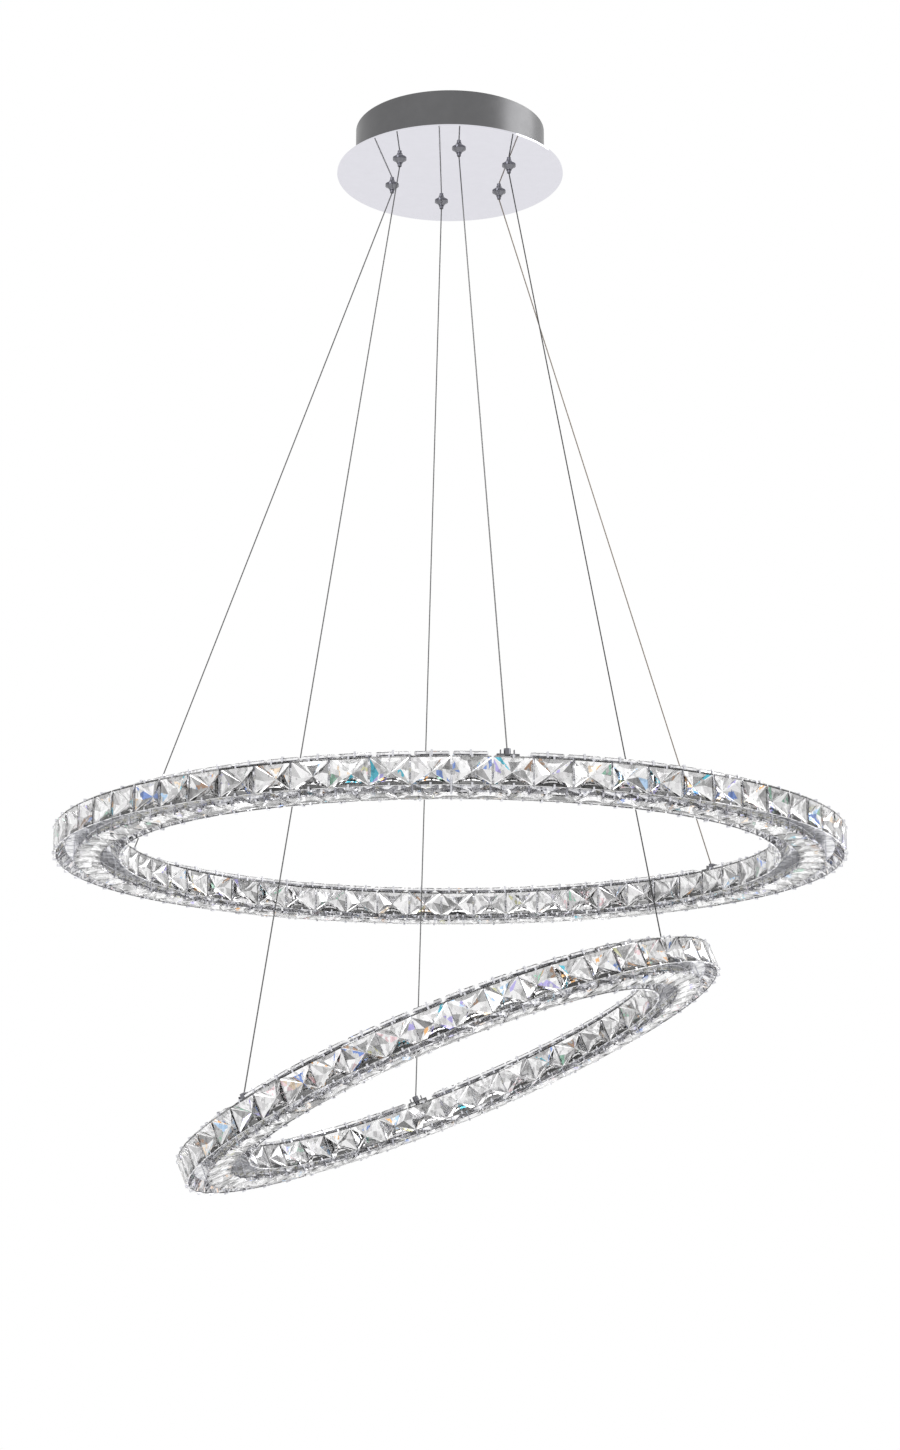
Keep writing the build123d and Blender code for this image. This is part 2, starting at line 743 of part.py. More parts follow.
    def anchor_location(self, anchor):
        """Where the wire bracket at one anchor stands, with X pointing outwards."""
        return Pos(at_azimuth(self.middle_radius, anchor)) * Rot(0, 0, anchor)

    def ball_centre(self, anchor):
        """Centre of a wire's ball terminal, in the pendant's frame."""
        return (self.location * Pos(at_azimuth(self.middle_radius, anchor, ball_level))).position

    def make_balls(self):
        """The ball terminals, each with a flat where its wire leaves."""
        balls = []
        for anchor in self.anchors:
            centre = self.ball_centre(anchor)
            towards_gripper = (gripper_mouth(anchor) - centre).normalized()
            ball = Plane(centre, z_dir=towards_gripper).location * make_flat_ball()
            balls.append(ball)
        return balls

    def place(self, pieces):
        """Moves pieces from the ring's own frame to where the ring hangs."""
        return [self.location * piece for piece in pieces]


def make_flat_ball():
    """A ball on the origin with a small flat facing +Z."""
    flat = ball_radius - ball_flat_depth
    return Sphere(ball_radius) & post(ball_radius, -ball_radius, flat)


# Suspension wires


def gripper_mouth(azimuth):
    """The point where a wire turns out of its gripper."""
    return at_azimuth(gripper_circle_radius, azimuth, mouth_level)


def make_wire(ring, azimuth):
    """A taut wire: straight through its gripper, one bend at the mouth, straight to its ball."""
    mouth = gripper_mouth(azimuth)
    top = at_azimuth(gripper_circle_radius, azimuth, plate_bottom + gripper_shank_length + wire_tail_length)
    centre = ring.ball_centre(azimuth)
    end = centre + (mouth - centre).normalized() * (ball_radius - ball_flat_depth)
    path = FilletPolyline(top, mouth, end, radius=[wire_mouth_bend_radius])
    wire = sweep(Plane(top, z_dir=(0, 0, -1)) * Circle(wire_radius), path=path)
    expected = math.pi * wire_radius ** 2 * path.length
    turn = (mouth - top).get_angle(end - mouth)
    print(f"wire at {azimuth:.0f}: bend radius {wire_mouth_bend_radius}, turn {turn:.1f} degrees,",
          f"length {path.length:.1f}, volume share {wire.volume / expected:.4f}")
    return wire


# Places that several pieces share
gripper_azimuths = evenly_round(gripper_count, gripper_first_azimuth)
large_anchors = gripper_azimuths[0::2]
small_anchors = gripper_azimuths[1::2]
first_pole = -terminal_pole_pitch * (terminal_pole_count - 1) / 2
terminal_poles = [first_pole + index * terminal_pole_pitch for index in range(terminal_pole_count)]
small_ring_lean = Rot(0, 0, small_ring_high_side_azimuth) * Rot(0, -small_ring_tilt, 0)
small_ring_turn = small_ring_lean * Rot(0, 0, -small_ring_high_side_azimuth)

large_ring = CrystalRing(large_ring_diameter, Pos(0, 0, -large_ring_drop), large_anchors)
small_ring = CrystalRing(small_ring_diameter, Pos(0, 0, -small_ring_drop) * small_ring_turn, small_anchors)

save("canopy_drum", [make_drum()])
save("canopy_set_screws", [make_set_screw(-1), make_set_screw(1)])
save("canopy_plate", [make_plate()])
save("canopy_plate_nuts", make_plate_nuts())
save("ceiling_bracket", [make_ceiling_bracket()])
save("driver_case", [make_driver_case()])
save("driver_lid", [make_driver_lid()])
save("driver_board", [make_driver_board()])
save("driver_nuts", make_driver_nuts())
save("terminal_block", [make_terminal_block()])
save("terminal_screws", make_terminal_screws())
save("gripper_nuts", make_gripper_nuts())

gripper_centres = [at_azimuth(gripper_circle_radius, azimuth, plate_bottom) for azimuth in gripper_azimuths]
gripper_places = [Pos(centre) for centre in gripper_centres]
save("gripper_plugs", [place * make_plug() for place in gripper_places])
for number, place in enumerate(gripper_places, start=1):
    save(f"gripper_body_{number}", [place * make_gripper_body()])
    save(f"gripper_plunger_{number}", [place * make_plunger()])
    save(f"gripper_spring_{number}", [place * make_spring()])

for number, azimuth in enumerate(gripper_azimuths, start=1):
    ring = large_ring if azimuth in large_anchors else small_ring
    save(f"suspension_wire_{number}", [make_wire(ring, azimuth)])

for name, ring in (("large", large_ring), ("small", small_ring)):
    side_crystal = make_crystal(crystal_width)
    face_crystal = make_crystal(ring.face_crystal_width)
    save(f"{name}_ring_channel", ring.place([ring.make_channel()]))
    save(f"{name}_ring_cover", ring.place([ring.make_cover()]))
    save(f"{name}_ring_led_strips", ring.place(ring.make_led_strips()))
    save(f"{name}_outer_crystals", ring.place([place * side_crystal for place in ring.outer_places()]))
    save(f"{name}_inner_crystals", ring.place([place * side_crystal for place in ring.inner_places()]))
    save(f"{name}_top_crystals", ring.place([place * face_crystal for place in ring.top_places()]))
    save(f"{name}_bottom_crystals", ring.place([place * face_crystal for place in ring.bottom_places()]))
    save(f"{name}_crystal_claws", ring.place(ring.make_claws()))
    save(f"{name}_wire_brackets", ring.place(ring.make_bridges()))
    save(f"{name}_wire_bushings", ring.place(ring.make_bushings()))
    save(f"{name}_wire_balls", ring.make_balls())
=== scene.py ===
"""Dresses the crystal pendant light: cut crystals, wires, springs, LED strips and every finish."""

import json
import logging
import math
from dataclasses import dataclass
from enum import Enum
from random import Random
from typing import Iterator, Sequence

import bmesh
import bpy
from mathutils import Matrix, Vector


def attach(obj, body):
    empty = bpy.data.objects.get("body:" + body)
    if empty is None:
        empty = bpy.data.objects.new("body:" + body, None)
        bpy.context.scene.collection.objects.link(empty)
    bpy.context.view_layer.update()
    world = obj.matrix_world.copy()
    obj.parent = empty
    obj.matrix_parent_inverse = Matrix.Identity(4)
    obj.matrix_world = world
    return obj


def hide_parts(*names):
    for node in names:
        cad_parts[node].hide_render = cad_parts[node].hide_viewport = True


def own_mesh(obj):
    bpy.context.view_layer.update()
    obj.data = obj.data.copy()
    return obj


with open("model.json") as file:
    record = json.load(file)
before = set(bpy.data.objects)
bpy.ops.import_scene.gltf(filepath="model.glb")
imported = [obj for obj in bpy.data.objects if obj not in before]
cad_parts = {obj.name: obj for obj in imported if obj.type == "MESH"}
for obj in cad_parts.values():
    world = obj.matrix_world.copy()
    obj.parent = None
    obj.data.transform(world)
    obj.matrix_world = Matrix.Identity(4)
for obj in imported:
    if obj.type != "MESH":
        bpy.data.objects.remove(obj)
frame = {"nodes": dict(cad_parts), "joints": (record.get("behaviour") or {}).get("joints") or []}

log = logging.getLogger("pendant")

Colour = tuple[float, float, float]
Inputs = dict[str | int, object]
Socket = bpy.types.NodeSocket

GRIPPER_COUNT = 6
FIRST_GRIPPER_AZIMUTH = -82.0
FULL_TURN = 360.0
SIGNS = (-1, 1)
WHITE = (1.0, 1.0, 1.0)


def from_display(red: float, green: float, blue: float) -> Colour:
    """Turns a colour as a screen shows it into a linear one, by the standard curve of screens."""
    return tuple(c / 12.92 if c <= 0.04045 else ((c + 0.055) / 1.055) ** 2.4 for c in (red, green, blue))


# Shader graphs and the node groups that several finishes share


class Graph:
    """Adds and joins nodes in one node tree."""

    def __init__(self, tree: bpy.types.NodeTree) -> None:
        """Keeps the tree that the nodes go into."""
        self.tree = tree

    def fill(self, node: bpy.types.Node, inputs: Inputs) -> None:
        """Sets or links a node's inputs.

        Args:
            node: The node.
            inputs: Values or output sockets for its inputs, by name or index.
        """
        for name, value in inputs.items():
            if isinstance(value, Socket):
                self.tree.links.new(value, node.inputs[name])
            else:
                node.inputs[name].default_value = value

    def add(self, kind: str, inputs: Inputs | None = None, **settings: object) -> bpy.types.Node:
        """Adds a node.

        Args:
            kind: The node's type name.
            inputs: Values or output sockets for its inputs, by name or index.
            **settings: Properties of the node itself.

        Returns:
            The new node.
        """
        node = self.tree.nodes.new(kind)
        for name, value in settings.items():
            setattr(node, name, value)
        self.fill(node, inputs or {})
        return node

    def combine(self, operation: str, first: object, second: object, clamp: bool = False) -> Socket:
        """Combines two values by an operation, held between 0 and 1 where it clamps."""
        node = self.add("ShaderNodeMath", {0: first, 1: second}, operation=operation, use_clamp=clamp)
        return node.outputs[0]

    def mix(self, share: object, first: object, second: object, blend: str = "MIX") -> Socket:
        """Mixes two colours, where the share is how much of the second one counts."""
        node = self.add("ShaderNodeMix", {0: share, 6: first, 7: second}, data_type="RGBA", blend_type=blend)
        return node.outputs[2]

    def span(self, value: object, low: object, high: object) -> Socket:
        """Maps a value from 0 to 1 onto the span from low to high."""
        return self.add("ShaderNodeMapRange", {"Value": value, "To Min": low, "To Max": high}).outputs[0]

    def bump(self, height: Socket, strength: float, depth: float) -> Socket:
        """Turns a height from 0 to 1, with a real depth in metres, into a normal."""
        node = self.add("ShaderNodeBump", {"Height": height, "Strength": strength, "Distance": depth})
        return node.outputs[0]

    def surface(self, inputs: Inputs) -> None:
        """Sets or links the inputs of the material's surface."""
        self.fill(self.tree.nodes["Principled BSDF"], inputs)

    def point(self) -> Socket:
        """The place on the object, in the object's own coordinates."""
        return self.add("ShaderNodeTexCoord").outputs["Object"]

    def seen(self) -> Socket:
        """Is 1 where the camera looks, directly or by way of metal or glass, and 0 for light on the object.

        Returns:
            The mask.
        """
        path = self.add("ShaderNodeLightPath").outputs
        mask = path["Is Camera Ray"]
        for ray in ("Is Glossy Ray", "Is Transmission Ray"):
            mask = self.combine("MAXIMUM", mask, path[ray])
        return mask


class Effect(Enum):
    """The shared surface effects, by the name of their node group."""

    MOTTLE = "Soft mottle"
    GRAIN = "Drawn grain"
    SCUFF = "Fine scuffs"
    CUT = "Cut glass streaks"


class Effects:
    """Builds each shared node group once and places it in materials."""

    scuff_width: float = 0.03
    worn_threshold: float = 0.56
    spot_threshold: float = 0.55

    def __init__(self) -> None:
        """Builds all the groups."""
        self.trees: dict[Effect, bpy.types.NodeTree] = {}
        for build in (self._mottle, self._grain, self._scuff, self._cut):
            build()

    def _start(self, effect: Effect, inputs: dict[str, float], *outputs: str) -> tuple:
        """Starts a group with float sockets.

        Args:
            effect: Which effect the group makes.
            inputs: Input names with their usual values.
            *outputs: Output names.

        Returns:
            The group's graph, its inputs' sockets by name, and its output node.
        """
        tree = bpy.data.node_groups.new(effect.value, "ShaderNodeTree")
        for name, value in inputs.items():
            socket = tree.interface.new_socket(name, in_out="INPUT", socket_type="NodeSocketFloat")
            socket.default_value = value
        for name in outputs:
            tree.interface.new_socket(name, in_out="OUTPUT", socket_type="NodeSocketFloat")
        self.trees[effect] = tree
        graph = Graph(tree)
        return graph, graph.add("NodeGroupInput").outputs, graph.add("NodeGroupOutput")

    def _mottle(self) -> None:
        """Cloudy variation between two values, for roughness and tone."""
        graph, given, out = self._start(Effect.MOTTLE, {"Scale": 60.0, "Low": 0.0, "High": 1.0}, "Value")
        noise = graph.add("ShaderNodeTexNoise", {"Vector": graph.point(), "Scale": given["Scale"], "Detail": 5.0})
        graph.fill(out, {"Value": graph.span(noise.outputs["Fac"], given["Low"], given["High"])})

    def _grain(self) -> None:
        """Fine lines drawn level round the vertical axis, as on turned or rolled metal."""
        graph, given, out = self._start(Effect.GRAIN, {"Scale": 900.0, "Stretch": 0.02}, "Height")
        parts = graph.add("ShaderNodeSeparateXYZ", {"Vector": graph.point()}).outputs
        squeezed = graph.add("ShaderNodeCombineXYZ", {
            0: graph.combine("MULTIPLY", parts[0], given["Stretch"]),
            1: graph.combine("MULTIPLY", parts[1], given["Stretch"]),
            2: parts[2]})
        noise = graph.add("ShaderNodeTexNoise", {
            "Vector": squeezed.outputs[0], "Scale": given["Scale"], "Detail": 3.0, "Roughness": 0.7})
        graph.fill(out, {"Height": noise.outputs["Fac"]})

    def _scuff(self) -> None:
        """Sparse hairline scuffs from handling."""
        graph, given, out = self._start(Effect.SCUFF, {"Scale": 220.0, "Amount": 0.3}, "Mask", "Height")
        point = graph.point()
        warp = graph.add("ShaderNodeTexNoise", {"Vector": point, "Scale": 40.0, "Detail": 2.0})
        bent = graph.add("ShaderNodeVectorMath", {0: point, 1: warp.outputs["Color"]}, operation="ADD")
        cells = graph.add("ShaderNodeTexVoronoi", {"Vector": bent.outputs[0], "Scale": given["Scale"]},
                          feature="DISTANCE_TO_EDGE")
        thin = graph.add("ShaderNodeMapRange", {
            "Value": cells.outputs["Distance"], "From Max": self.scuff_width, "To Min": 1.0, "To Max": 0.0})
        patch = graph.add("ShaderNodeTexNoise", {"Vector": point, "Scale": 25.0})
        worn = graph.combine("GREATER_THAN", patch.outputs["Fac"], self.worn_threshold)
        kept = graph.combine("MULTIPLY", thin.outputs[0], worn)
        mask = graph.combine("MULTIPLY", kept, given["Amount"])
        graph.fill(out, {"Mask": mask, "Height": mask})

    def _cut(self) -> None:
        """Broken upright streaks of light and dark, and spots, as cut glass shows in its back facets: painted
        reflections and spots of painted colour fire on crystals, painted reflections on frame and LED strips, and
        plain patchy tone on zinc plate.
        """
        graph, given, out = self._start(
            Effect.CUT, {"Scale": 260.0, "Stretch": 1.0, "Share": 1.0, "Low": 0.6, "High": 1.15},
            "Value", "Spots")
        parts = graph.add("ShaderNodeSeparateXYZ", {"Vector": graph.point()}).outputs
        squeezed = graph.add("ShaderNodeCombineXYZ", {
            0: parts[0], 1: parts[1], 2: graph.combine("MULTIPLY", parts[2], given["Stretch"])})
        cells = graph.add("ShaderNodeTexVoronoi", {
            "Vector": squeezed.outputs[0], "Scale": given["Scale"], "Randomness": 0.9},
            feature="F1", distance="CHEBYCHEV")
        tone = graph.add("ShaderNodeSeparateColor", {"Color": cells.outputs["Color"]}).outputs
        value = graph.add("ShaderNodeMapRange", {
            "Value": tone[0], "From Max": given["Share"], "To Min": given["Low"], "To Max": given["High"]})
        spots = graph.combine("GREATER_THAN", tone[1], self.spot_threshold)
        graph.fill(out, {"Value": value.outputs[0], "Spots": spots})

    def place(self, graph: Graph, effect: Effect, inputs: Inputs) -> bpy.types.Node:
        """Places a group in a material's graph, with the material's own values."""
        return graph.add("ShaderNodeGroup", inputs, node_tree=self.trees[effect])


EFFECTS = Effects()


# Finishes


@dataclass(frozen=True)
class Finish:
    """A surface finish, by the colour that a screen shows, with one material made at its first use."""

    name: str
    shown: Colour
    roughness: float = 0.4

    @property
    def colour(self) -> tuple[float, float, float, float]:
        """The linear colour, opaque, that shaders use."""
        return (*from_display(*self.shown), 1.0)

    def material(self) -> bpy.types.Material:
        """Gives the finish's material.

        Returns:
            The material, built once.
        """
        made = bpy.data.materials.get(self.name)
        if made is None:
            made = bpy.data.materials.new(self.name)
            made.use_nodes = True
            made.diffuse_color = self.colour
            self.shade(Graph(made.node_tree))
        return made

    def shade(self, graph: Graph) -> None:
        """Sets and links the surface's inputs in the material's graph."""
        graph.surface({"Base Color": self.colour, "Roughness": self.roughness})

    def toned(self, graph: Graph, value: Socket) -> Socket:
        """The finish's colour times a value that changes over the surface."""
        return graph.mix(1.0, self.colour, value, "MULTIPLY")

    @staticmethod
    def cloudy(graph: Graph, scale: float, middle: float = 0.5, spread: float = 0.5) -> Socket:
        """A soft mottle that reaches evenly to both sides of a middle value."""
        return EFFECTS.place(graph, Effect.MOTTLE, {
            "Scale": scale, "Low": middle - spread, "High": middle + spread}).outputs[0]


@dataclass(frozen=True)
class Metal(Finish):
    """Metal with drawn grain, cloudy polish and a few scuffs."""

    grain: float = 0.3
    grain_scale: float = 900.0
    grain_depth: float = 0.00002
    cloud: float = 0.06
    cloud_scale: float = 45.0
    tone_spread: float = 0.08
    tone_scale: float = 120.0
    scuffs: float = 0.2
    scuff_tone: float = 0.55

    def shade(self, graph: Graph) -> None:
        """Links colour, roughness and normal to the grain, the clouds and the scuffs.

        Args:
            graph: The material's graph.
        """
        grain = EFFECTS.place(graph, Effect.GRAIN, {"Scale": self.grain_scale}).outputs["Height"]
        scuff = EFFECTS.place(graph, Effect.SCUFF, {"Amount": self.scuffs}).outputs["Mask"]
        cloud = self.cloudy(graph, self.cloud_scale, self.roughness, self.cloud)
        tone = self.cloudy(graph, self.tone_scale, 1.0, self.tone_spread)
        worn = tuple(self.scuff_tone * value for value in self.colour[:3])
        graph.surface({
            "Metallic": 1.0,
            "Base Color": graph.mix(scuff, self.toned(graph, tone), (*worn, 1.0)),
            "Roughness": graph.combine("ADD", cloud, scuff, clamp=True),
            "Normal": graph.bump(grain, self.grain, self.grain_depth)})


@dataclass(frozen=True)
class Patched(Finish):
    """A surface of light and dark patches: the zinc plate's own patchy tone, or painted reflections of the
    crystals on steel or a clear coat.
    """

    patch_scale: float = 260.0
    low: float = 0.75
    high: float = 1.2
    metallic: float = 1.0
    cloud: float = 0.1
    cloud_scale: float = 90.0
    scuffs: float = 0.6
    scuff_scale: float = 300.0
    scuff_strength: float = 0.2
    scuff_depth: float = 0.00003

    def shade(self, graph: Graph) -> None:
        """Links colour to the patches, roughness to clouds and the normal to scuffs.

        Args:
            graph: The material's graph.
        """
        patch = EFFECTS.place(graph, Effect.CUT, {
            "Scale": self.patch_scale, "Low": self.low, "High": self.high}).outputs["Value"]
        scuff = EFFECTS.place(graph, Effect.SCUFF, {
            "Scale": self.scuff_scale, "Amount": self.scuffs}).outputs["Height"]
        graph.surface({
            "Metallic": self.metallic,
            "Base Color": self.toned(graph, patch),
            "Roughness": self.cloudy(graph, self.cloud_scale, self.roughness, self.cloud),
            "Normal": graph.bump(scuff, self.scuff_strength, self.scuff_depth)})


@dataclass(frozen=True)
class Plastic(Finish):
    """Moulded plastic or lacquer with a fine eggshell texture."""

    cloud: float = 0.08
    cloud_scale: float = 150.0
    tone_spread: float = 0.05
    tone_scale: float = 70.0
    texture_scale: float = 1400.0
    texture_strength: float = 0.25
    texture_depth: float = 0.00004

    def shade(self, graph: Graph) -> None:
        """Links colour and roughness to clouds and the normal to the mould's texture.

        Args:
            graph: The material's graph.
        """
        texture = self.cloudy(graph, self.texture_scale)
        graph.surface({
            "Base Color": self.toned(graph, self.cloudy(graph, self.tone_scale, 1.0, self.tone_spread)),
            "Roughness": self.cloudy(graph, self.cloud_scale, self.roughness, self.cloud),
            "Normal": graph.bump(texture, self.texture_strength, self.texture_depth)})


@dataclass(frozen=True)
class FloorPaint(Plastic):
    """Pale paint on the studio floor, which shows as white as the backdrop but keeps soft shadows."""

    glow: float = 0.04

    def shade(self, graph: Graph) -> None:
        """Adds the little glow that the camera sees.

        Args:
            graph: The material's graph.
        """
        super().shade(graph)
        graph.surface({
            "Emission Color": (*WHITE, 1.0),
            "Emission Strength": graph.span(graph.seen(), 0.0, self.glow)})


@dataclass(frozen=True)
class ClearGlass(Finish):
    """The clear body of a crystal, seen at its table, bevels and girdle."""

    refraction: float = 1.05
    polish: float = 0.6
    wave_scale: float = 130.0
    wave_strength: float = 0.12
    wave_depth: float = 0.0002

    def shade(self, graph: Graph) -> None:
        """Sets plain glass and gives it the faint unevenness of a pressed and polished face.

        Args:
            graph: The material's graph.
        """
        super().shade(graph)
        wave = self.cloudy(graph, self.wave_scale)
        graph.surface({
            "Transmission Weight": 1.0,
            "IOR": self.refraction,
            "Coat Weight": self.polish,
            "Normal": graph.bump(wave, self.wave_strength, self.wave_depth)})


@dataclass(frozen=True)
class BackFacets(Finish):
    """The facets at a crystal's back: a mirror whose colour holds painted reflections, a tone that differs from
    facet to facet, broken by painted streaks.
    """

    painted_reflection_layer: str = "facet_tint"
    streak_scale: float = 400.0
    streak_stretch: float = 0.5
    streak_share: float = 0.5
    streak_low: float = 0.62
    streak_high: float = 1.04
    outside_share: float = 0.6
    cloud: float = 0.04
    cloud_scale: float = 200.0

    def shade(self, graph: Graph) -> None:
        """Links each facet's painted reflection, broken by painted streaks and coloured only in spots of painted
        colour fire, into a mirror that is paler from outside.

        Args:
            graph: The material's graph.
        """
        # Each facet's painted reflection colour, with its painted flashes of colour fire, is read from the face
        # corners.
        painted_reflection = graph.add("ShaderNodeVertexColor", layer_name=self.painted_reflection_layer).outputs["Color"]
        streak = EFFECTS.place(graph, Effect.CUT, {
            "Scale": self.streak_scale, "Stretch": self.streak_stretch, "Share": self.streak_share,
            "Low": self.streak_low, "High": self.streak_high}).outputs
        spotted = graph.add("ShaderNodeHueSaturation", {"Saturation": streak["Spots"], "Color": painted_reflection})
        inside = graph.add("ShaderNodeNewGeometry").outputs["Backfacing"]
        pale = graph.mix(graph.span(inside, self.outside_share, 1.0), self.colour, spotted.outputs[0])
        graph.surface({
            "Metallic": 1.0,
            "Base Color": graph.mix(1.0, pale, streak["Value"], "MULTIPLY"),
            "Roughness": self.cloudy(graph, self.cloud_scale, self.roughness, self.cloud)})


DRUM_STEEL = Metal("Satin drum steel", (0.4, 0.4, 0.405), 0.36, grain_scale=1300.0)
MIRROR_STEEL = Metal("Mirror steel", (0.87, 0.867, 0.895), 0.035, grain=0.05, cloud=0.025,
                     tone_spread=0.03, scuffs=0.08)
BLACK_STEEL = Metal("Blackened steel", (0.2, 0.2, 0.21), 0.35)
NICKEL = Metal("Bright nickel", (0.45, 0.45, 0.47), 0.16, grain=0.25, grain_scale=2200.0)
CLAW_STEEL = Metal("Claw steel", (0.84, 0.84, 0.86), 0.12, cloud=0.05)
BRIDGE_STEEL = Metal("Bracket steel", (0.4, 0.4, 0.41), 0.2)
SPRING_STEEL = Metal("Spring wire", (0.5, 0.5, 0.5), 0.3)
WIRE_STEEL, DARK_WIRE, WARM_WIRE = (
    Metal(name, shown, 0.38, grain=0.6, grain_scale=3500.0) for name, shown in (
        ("Stranded wire", (0.42, 0.42, 0.42)),
        ("Dark stranded wire", (0.3, 0.3, 0.3)),
        ("Tinned feed wire", (0.5, 0.47, 0.44))))
# The frame steel's light and dark patches are painted reflections of the crystals.
FRAME_STEEL = Patched("Ring frame steel", (0.97, 0.973, 0.99), 0.05, patch_scale=200.0, low=0.42, high=1.2,
                      metallic=0.35, cloud=0.02)
ZINC = Patched("Zinc plate", (0.7, 0.71, 0.73), 0.36)
# The LED strips' clear coat carries painted reflections of the crystals in its patches.
LED_COAT = Patched("LED strip coat", (0.98, 0.98, 0.99), 0.2, patch_scale=420.0, low=0.5, high=1.05,
                   metallic=0.0, cloud=0.08)
LED_CHIP = Plastic("LED phosphor", (0.95, 0.94, 0.88), 0.35, tone_spread=0.1)
WHITE_PLASTIC = Plastic("White housing", (0.93, 0.93, 0.91), 0.45)
GREEN_BOARD = Plastic("Circuit lacquer", (0.1, 0.38, 0.2), 0.3)
CLEAR_CRYSTAL = ClearGlass("Clear crystal", WHITE, 0.0)
CRYSTAL_FACETS = BackFacets("Crystal back facets", (0.98, 0.98, 0.99), 0.06)


# Places, meshes and objects


def seat(origin: Vector, x_axis: Vector, z_axis: Vector) -> Matrix:
    """The matrix of a right-handed place, from its origin and its unit X and Z directions."""
    turn = Matrix((x_axis, z_axis.cross(x_axis), z_axis)).transposed().to_4x4()
    return Matrix.Translation(origin) @ turn


def round_point(radius: float, azimuth: float, level: float = 0.0) -> Vector:
    """A point at a radius, an azimuth in degrees from +X towards +Y, and a level."""
    angle = math.radians(azimuth)
    return Vector((radius * math.cos(angle), radius * math.sin(angle), level))


def facing_out(radius: float, azimuth: float, level: float, side: int) -> Matrix:
    """A place that faces away from the axis, or towards it where the side is -1."""
    return seat(round_point(radius, azimuth, level), round_point(side, azimuth + 90), round_point(side, azimuth))


def facing_up(radius: float, azimuth: float, level: float, side: int) -> Matrix:
    """A place that faces up, or down where the side is -1."""
    return seat(round_point(radius, azimuth, level), round_point(1, azimuth + 90), Vector((0, 0, side)))


def azimuths(count: int, first: float = 0.0) -> list[float]:
    """Azimuths in degrees of copies spaced evenly round a full turn."""
    return [first + FULL_TURN * index / count for index in range(count)]


def link(name: str, data: bpy.types.ID) -> bpy.types.Object:
    """Makes an object that holds the data, in the scene."""
    bpy.context.scene.collection.objects.link(made := bpy.data.objects.new(name, data))
    return made


def paint(finish: Finish, *nodes: str) -> None:
    """Gives CAD nodes a finish.

    Args:
        finish: The finish.
        *nodes: The nodes' names.
    """
    for node in nodes:
        mesh = frame["nodes"][node].data
        mesh.materials.clear()
        mesh.materials.append(finish.material())


def fit(piece: bpy.types.Object, node: str, body: str) -> None:
    """Puts a piece in a CAD node's place.

    Args:
        piece: The piece.
        node: The CAD node that it stands for.
        body: The body that it rides on.
    """
    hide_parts(node)
    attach(piece, body)


class Body:
    """Collects points, and faces with their finish slots and colours (painted reflections on crystal facets), and
    turns them into one mesh object.
    """

    def __init__(self, name: str, *finishes: Finish) -> None:
        """Starts an empty body.

        Args:
            name: The object's name.
            *finishes: Its finishes, in the order of their slots.
        """
        self.name = name
        self.finishes = finishes
        self.points: list[Vector] = []
        self.faces: list[tuple[list[int], int, Colour]] = []

    def solid(self, faces: Sequence[Sequence[Vector]], slots: Sequence[int], painted_reflections: Sequence[Colour]) -> None:
        """Adds a closed solid, joining the faces at the points that they share.

        Args:
            faces: Each face's corners.
            slots: Each face's finish slot.
            painted_reflections: Each face's colour.
        """
        known: dict[tuple[float, ...], int] = {}
        for face, slot, painted_reflection in zip(faces, slots, painted_reflections):
            corners = []
            for point in face:
                key = tuple(round(value, 7) for value in point)
                if key not in known:
                    known[key] = len(self.points)
                    self.points.append(point)
                corners.append(known[key])
            self.faces.append((corners, slot, painted_reflection))

    def grid(self, rings: Sequence[Sequence[Vector]], slot: int = 0, closed: bool = False) -> None:
        """Adds a tube through rings of points, with flat ends unless it closes on itself.

        Args:
            rings: Rings of equally many points.
            slot: The finish slot.
            closed: Whether the last ring joins the first.
        """
        sides, count, start = len(rings[0]), len(rings), len(self.points)
        for ring in rings:
            self.points.extend(ring)
        for row in range(count if closed else count - 1):
            this, after = start + row * sides, start + (row + 1) % count * sides
            for side in range(sides):
                beside = (side + 1) % sides
                corners = [this + side, this + beside, after + beside, after + side]
                self.faces.append((corners, slot, WHITE))
        if not closed:
            last = start + (count - 1) * sides
            self.faces.append((list(reversed(range(start, start + sides))), slot, WHITE))
            self.faces.append((list(range(last, last + sides)), slot, WHITE))

    def build(self, smooth: bool = False) -> bpy.types.Object:
        """Makes the object, with its faces turned outwards.

        Args:
            smooth: Whether its faces are shaded smooth.

        Returns:
            The linked object.
        """
        mesh = bpy.data.meshes.new(self.name)
        faces, slots, painted_reflections = zip(*self.faces)
        mesh.from_pydata([tuple(point) for point in self.points], [], faces)
        for finish in self.finishes:
            mesh.materials.append(finish.material())
        mesh.polygons.foreach_set("material_index", slots)
        if CRYSTAL_FACETS in self.finishes:
            # The crystal facets' painted reflection colours go into a colour layer, one per face corner.
            layer = mesh.color_attributes.new(CRYSTAL_FACETS.painted_reflection_layer, "FLOAT_COLOR", "CORNER")
            colours = [value for face, painted_reflection in zip(faces, painted_reflections) for _ in face for value in (*painted_reflection, 1.0)]
            layer.data.foreach_set("color", colours)
        made = bmesh.new()
        made.from_mesh(mesh)
        bmesh.ops.recalc_face_normals(made, faces=made.faces)
        made.to_mesh(mesh)
        made.free()
        mesh.polygons.foreach_set("use_smooth", [smooth] * len(mesh.polygons))
        mesh.update()
        return link(self.name, mesh)


# Crystals


class Facet(Enum):
    """What a face of a crystal is, which sets how it is toned."""

    FRONT = "front"
    GIRDLE = "girdle"
    LEDGE = "ledge"
    RIDGE = "ridge"
    LOW_MOON = "low moon"
    HIGH_MOON = "high moon"
    MAIN = "main"


@dataclass(frozen=True)
class CutFace:
    """One face of a crystal, in the crystal's own frame, and the group of faces whose tone it shares."""

    corners: tuple[Vector, ...]
    kind: Facet
    group: tuple[object, ...] = ()


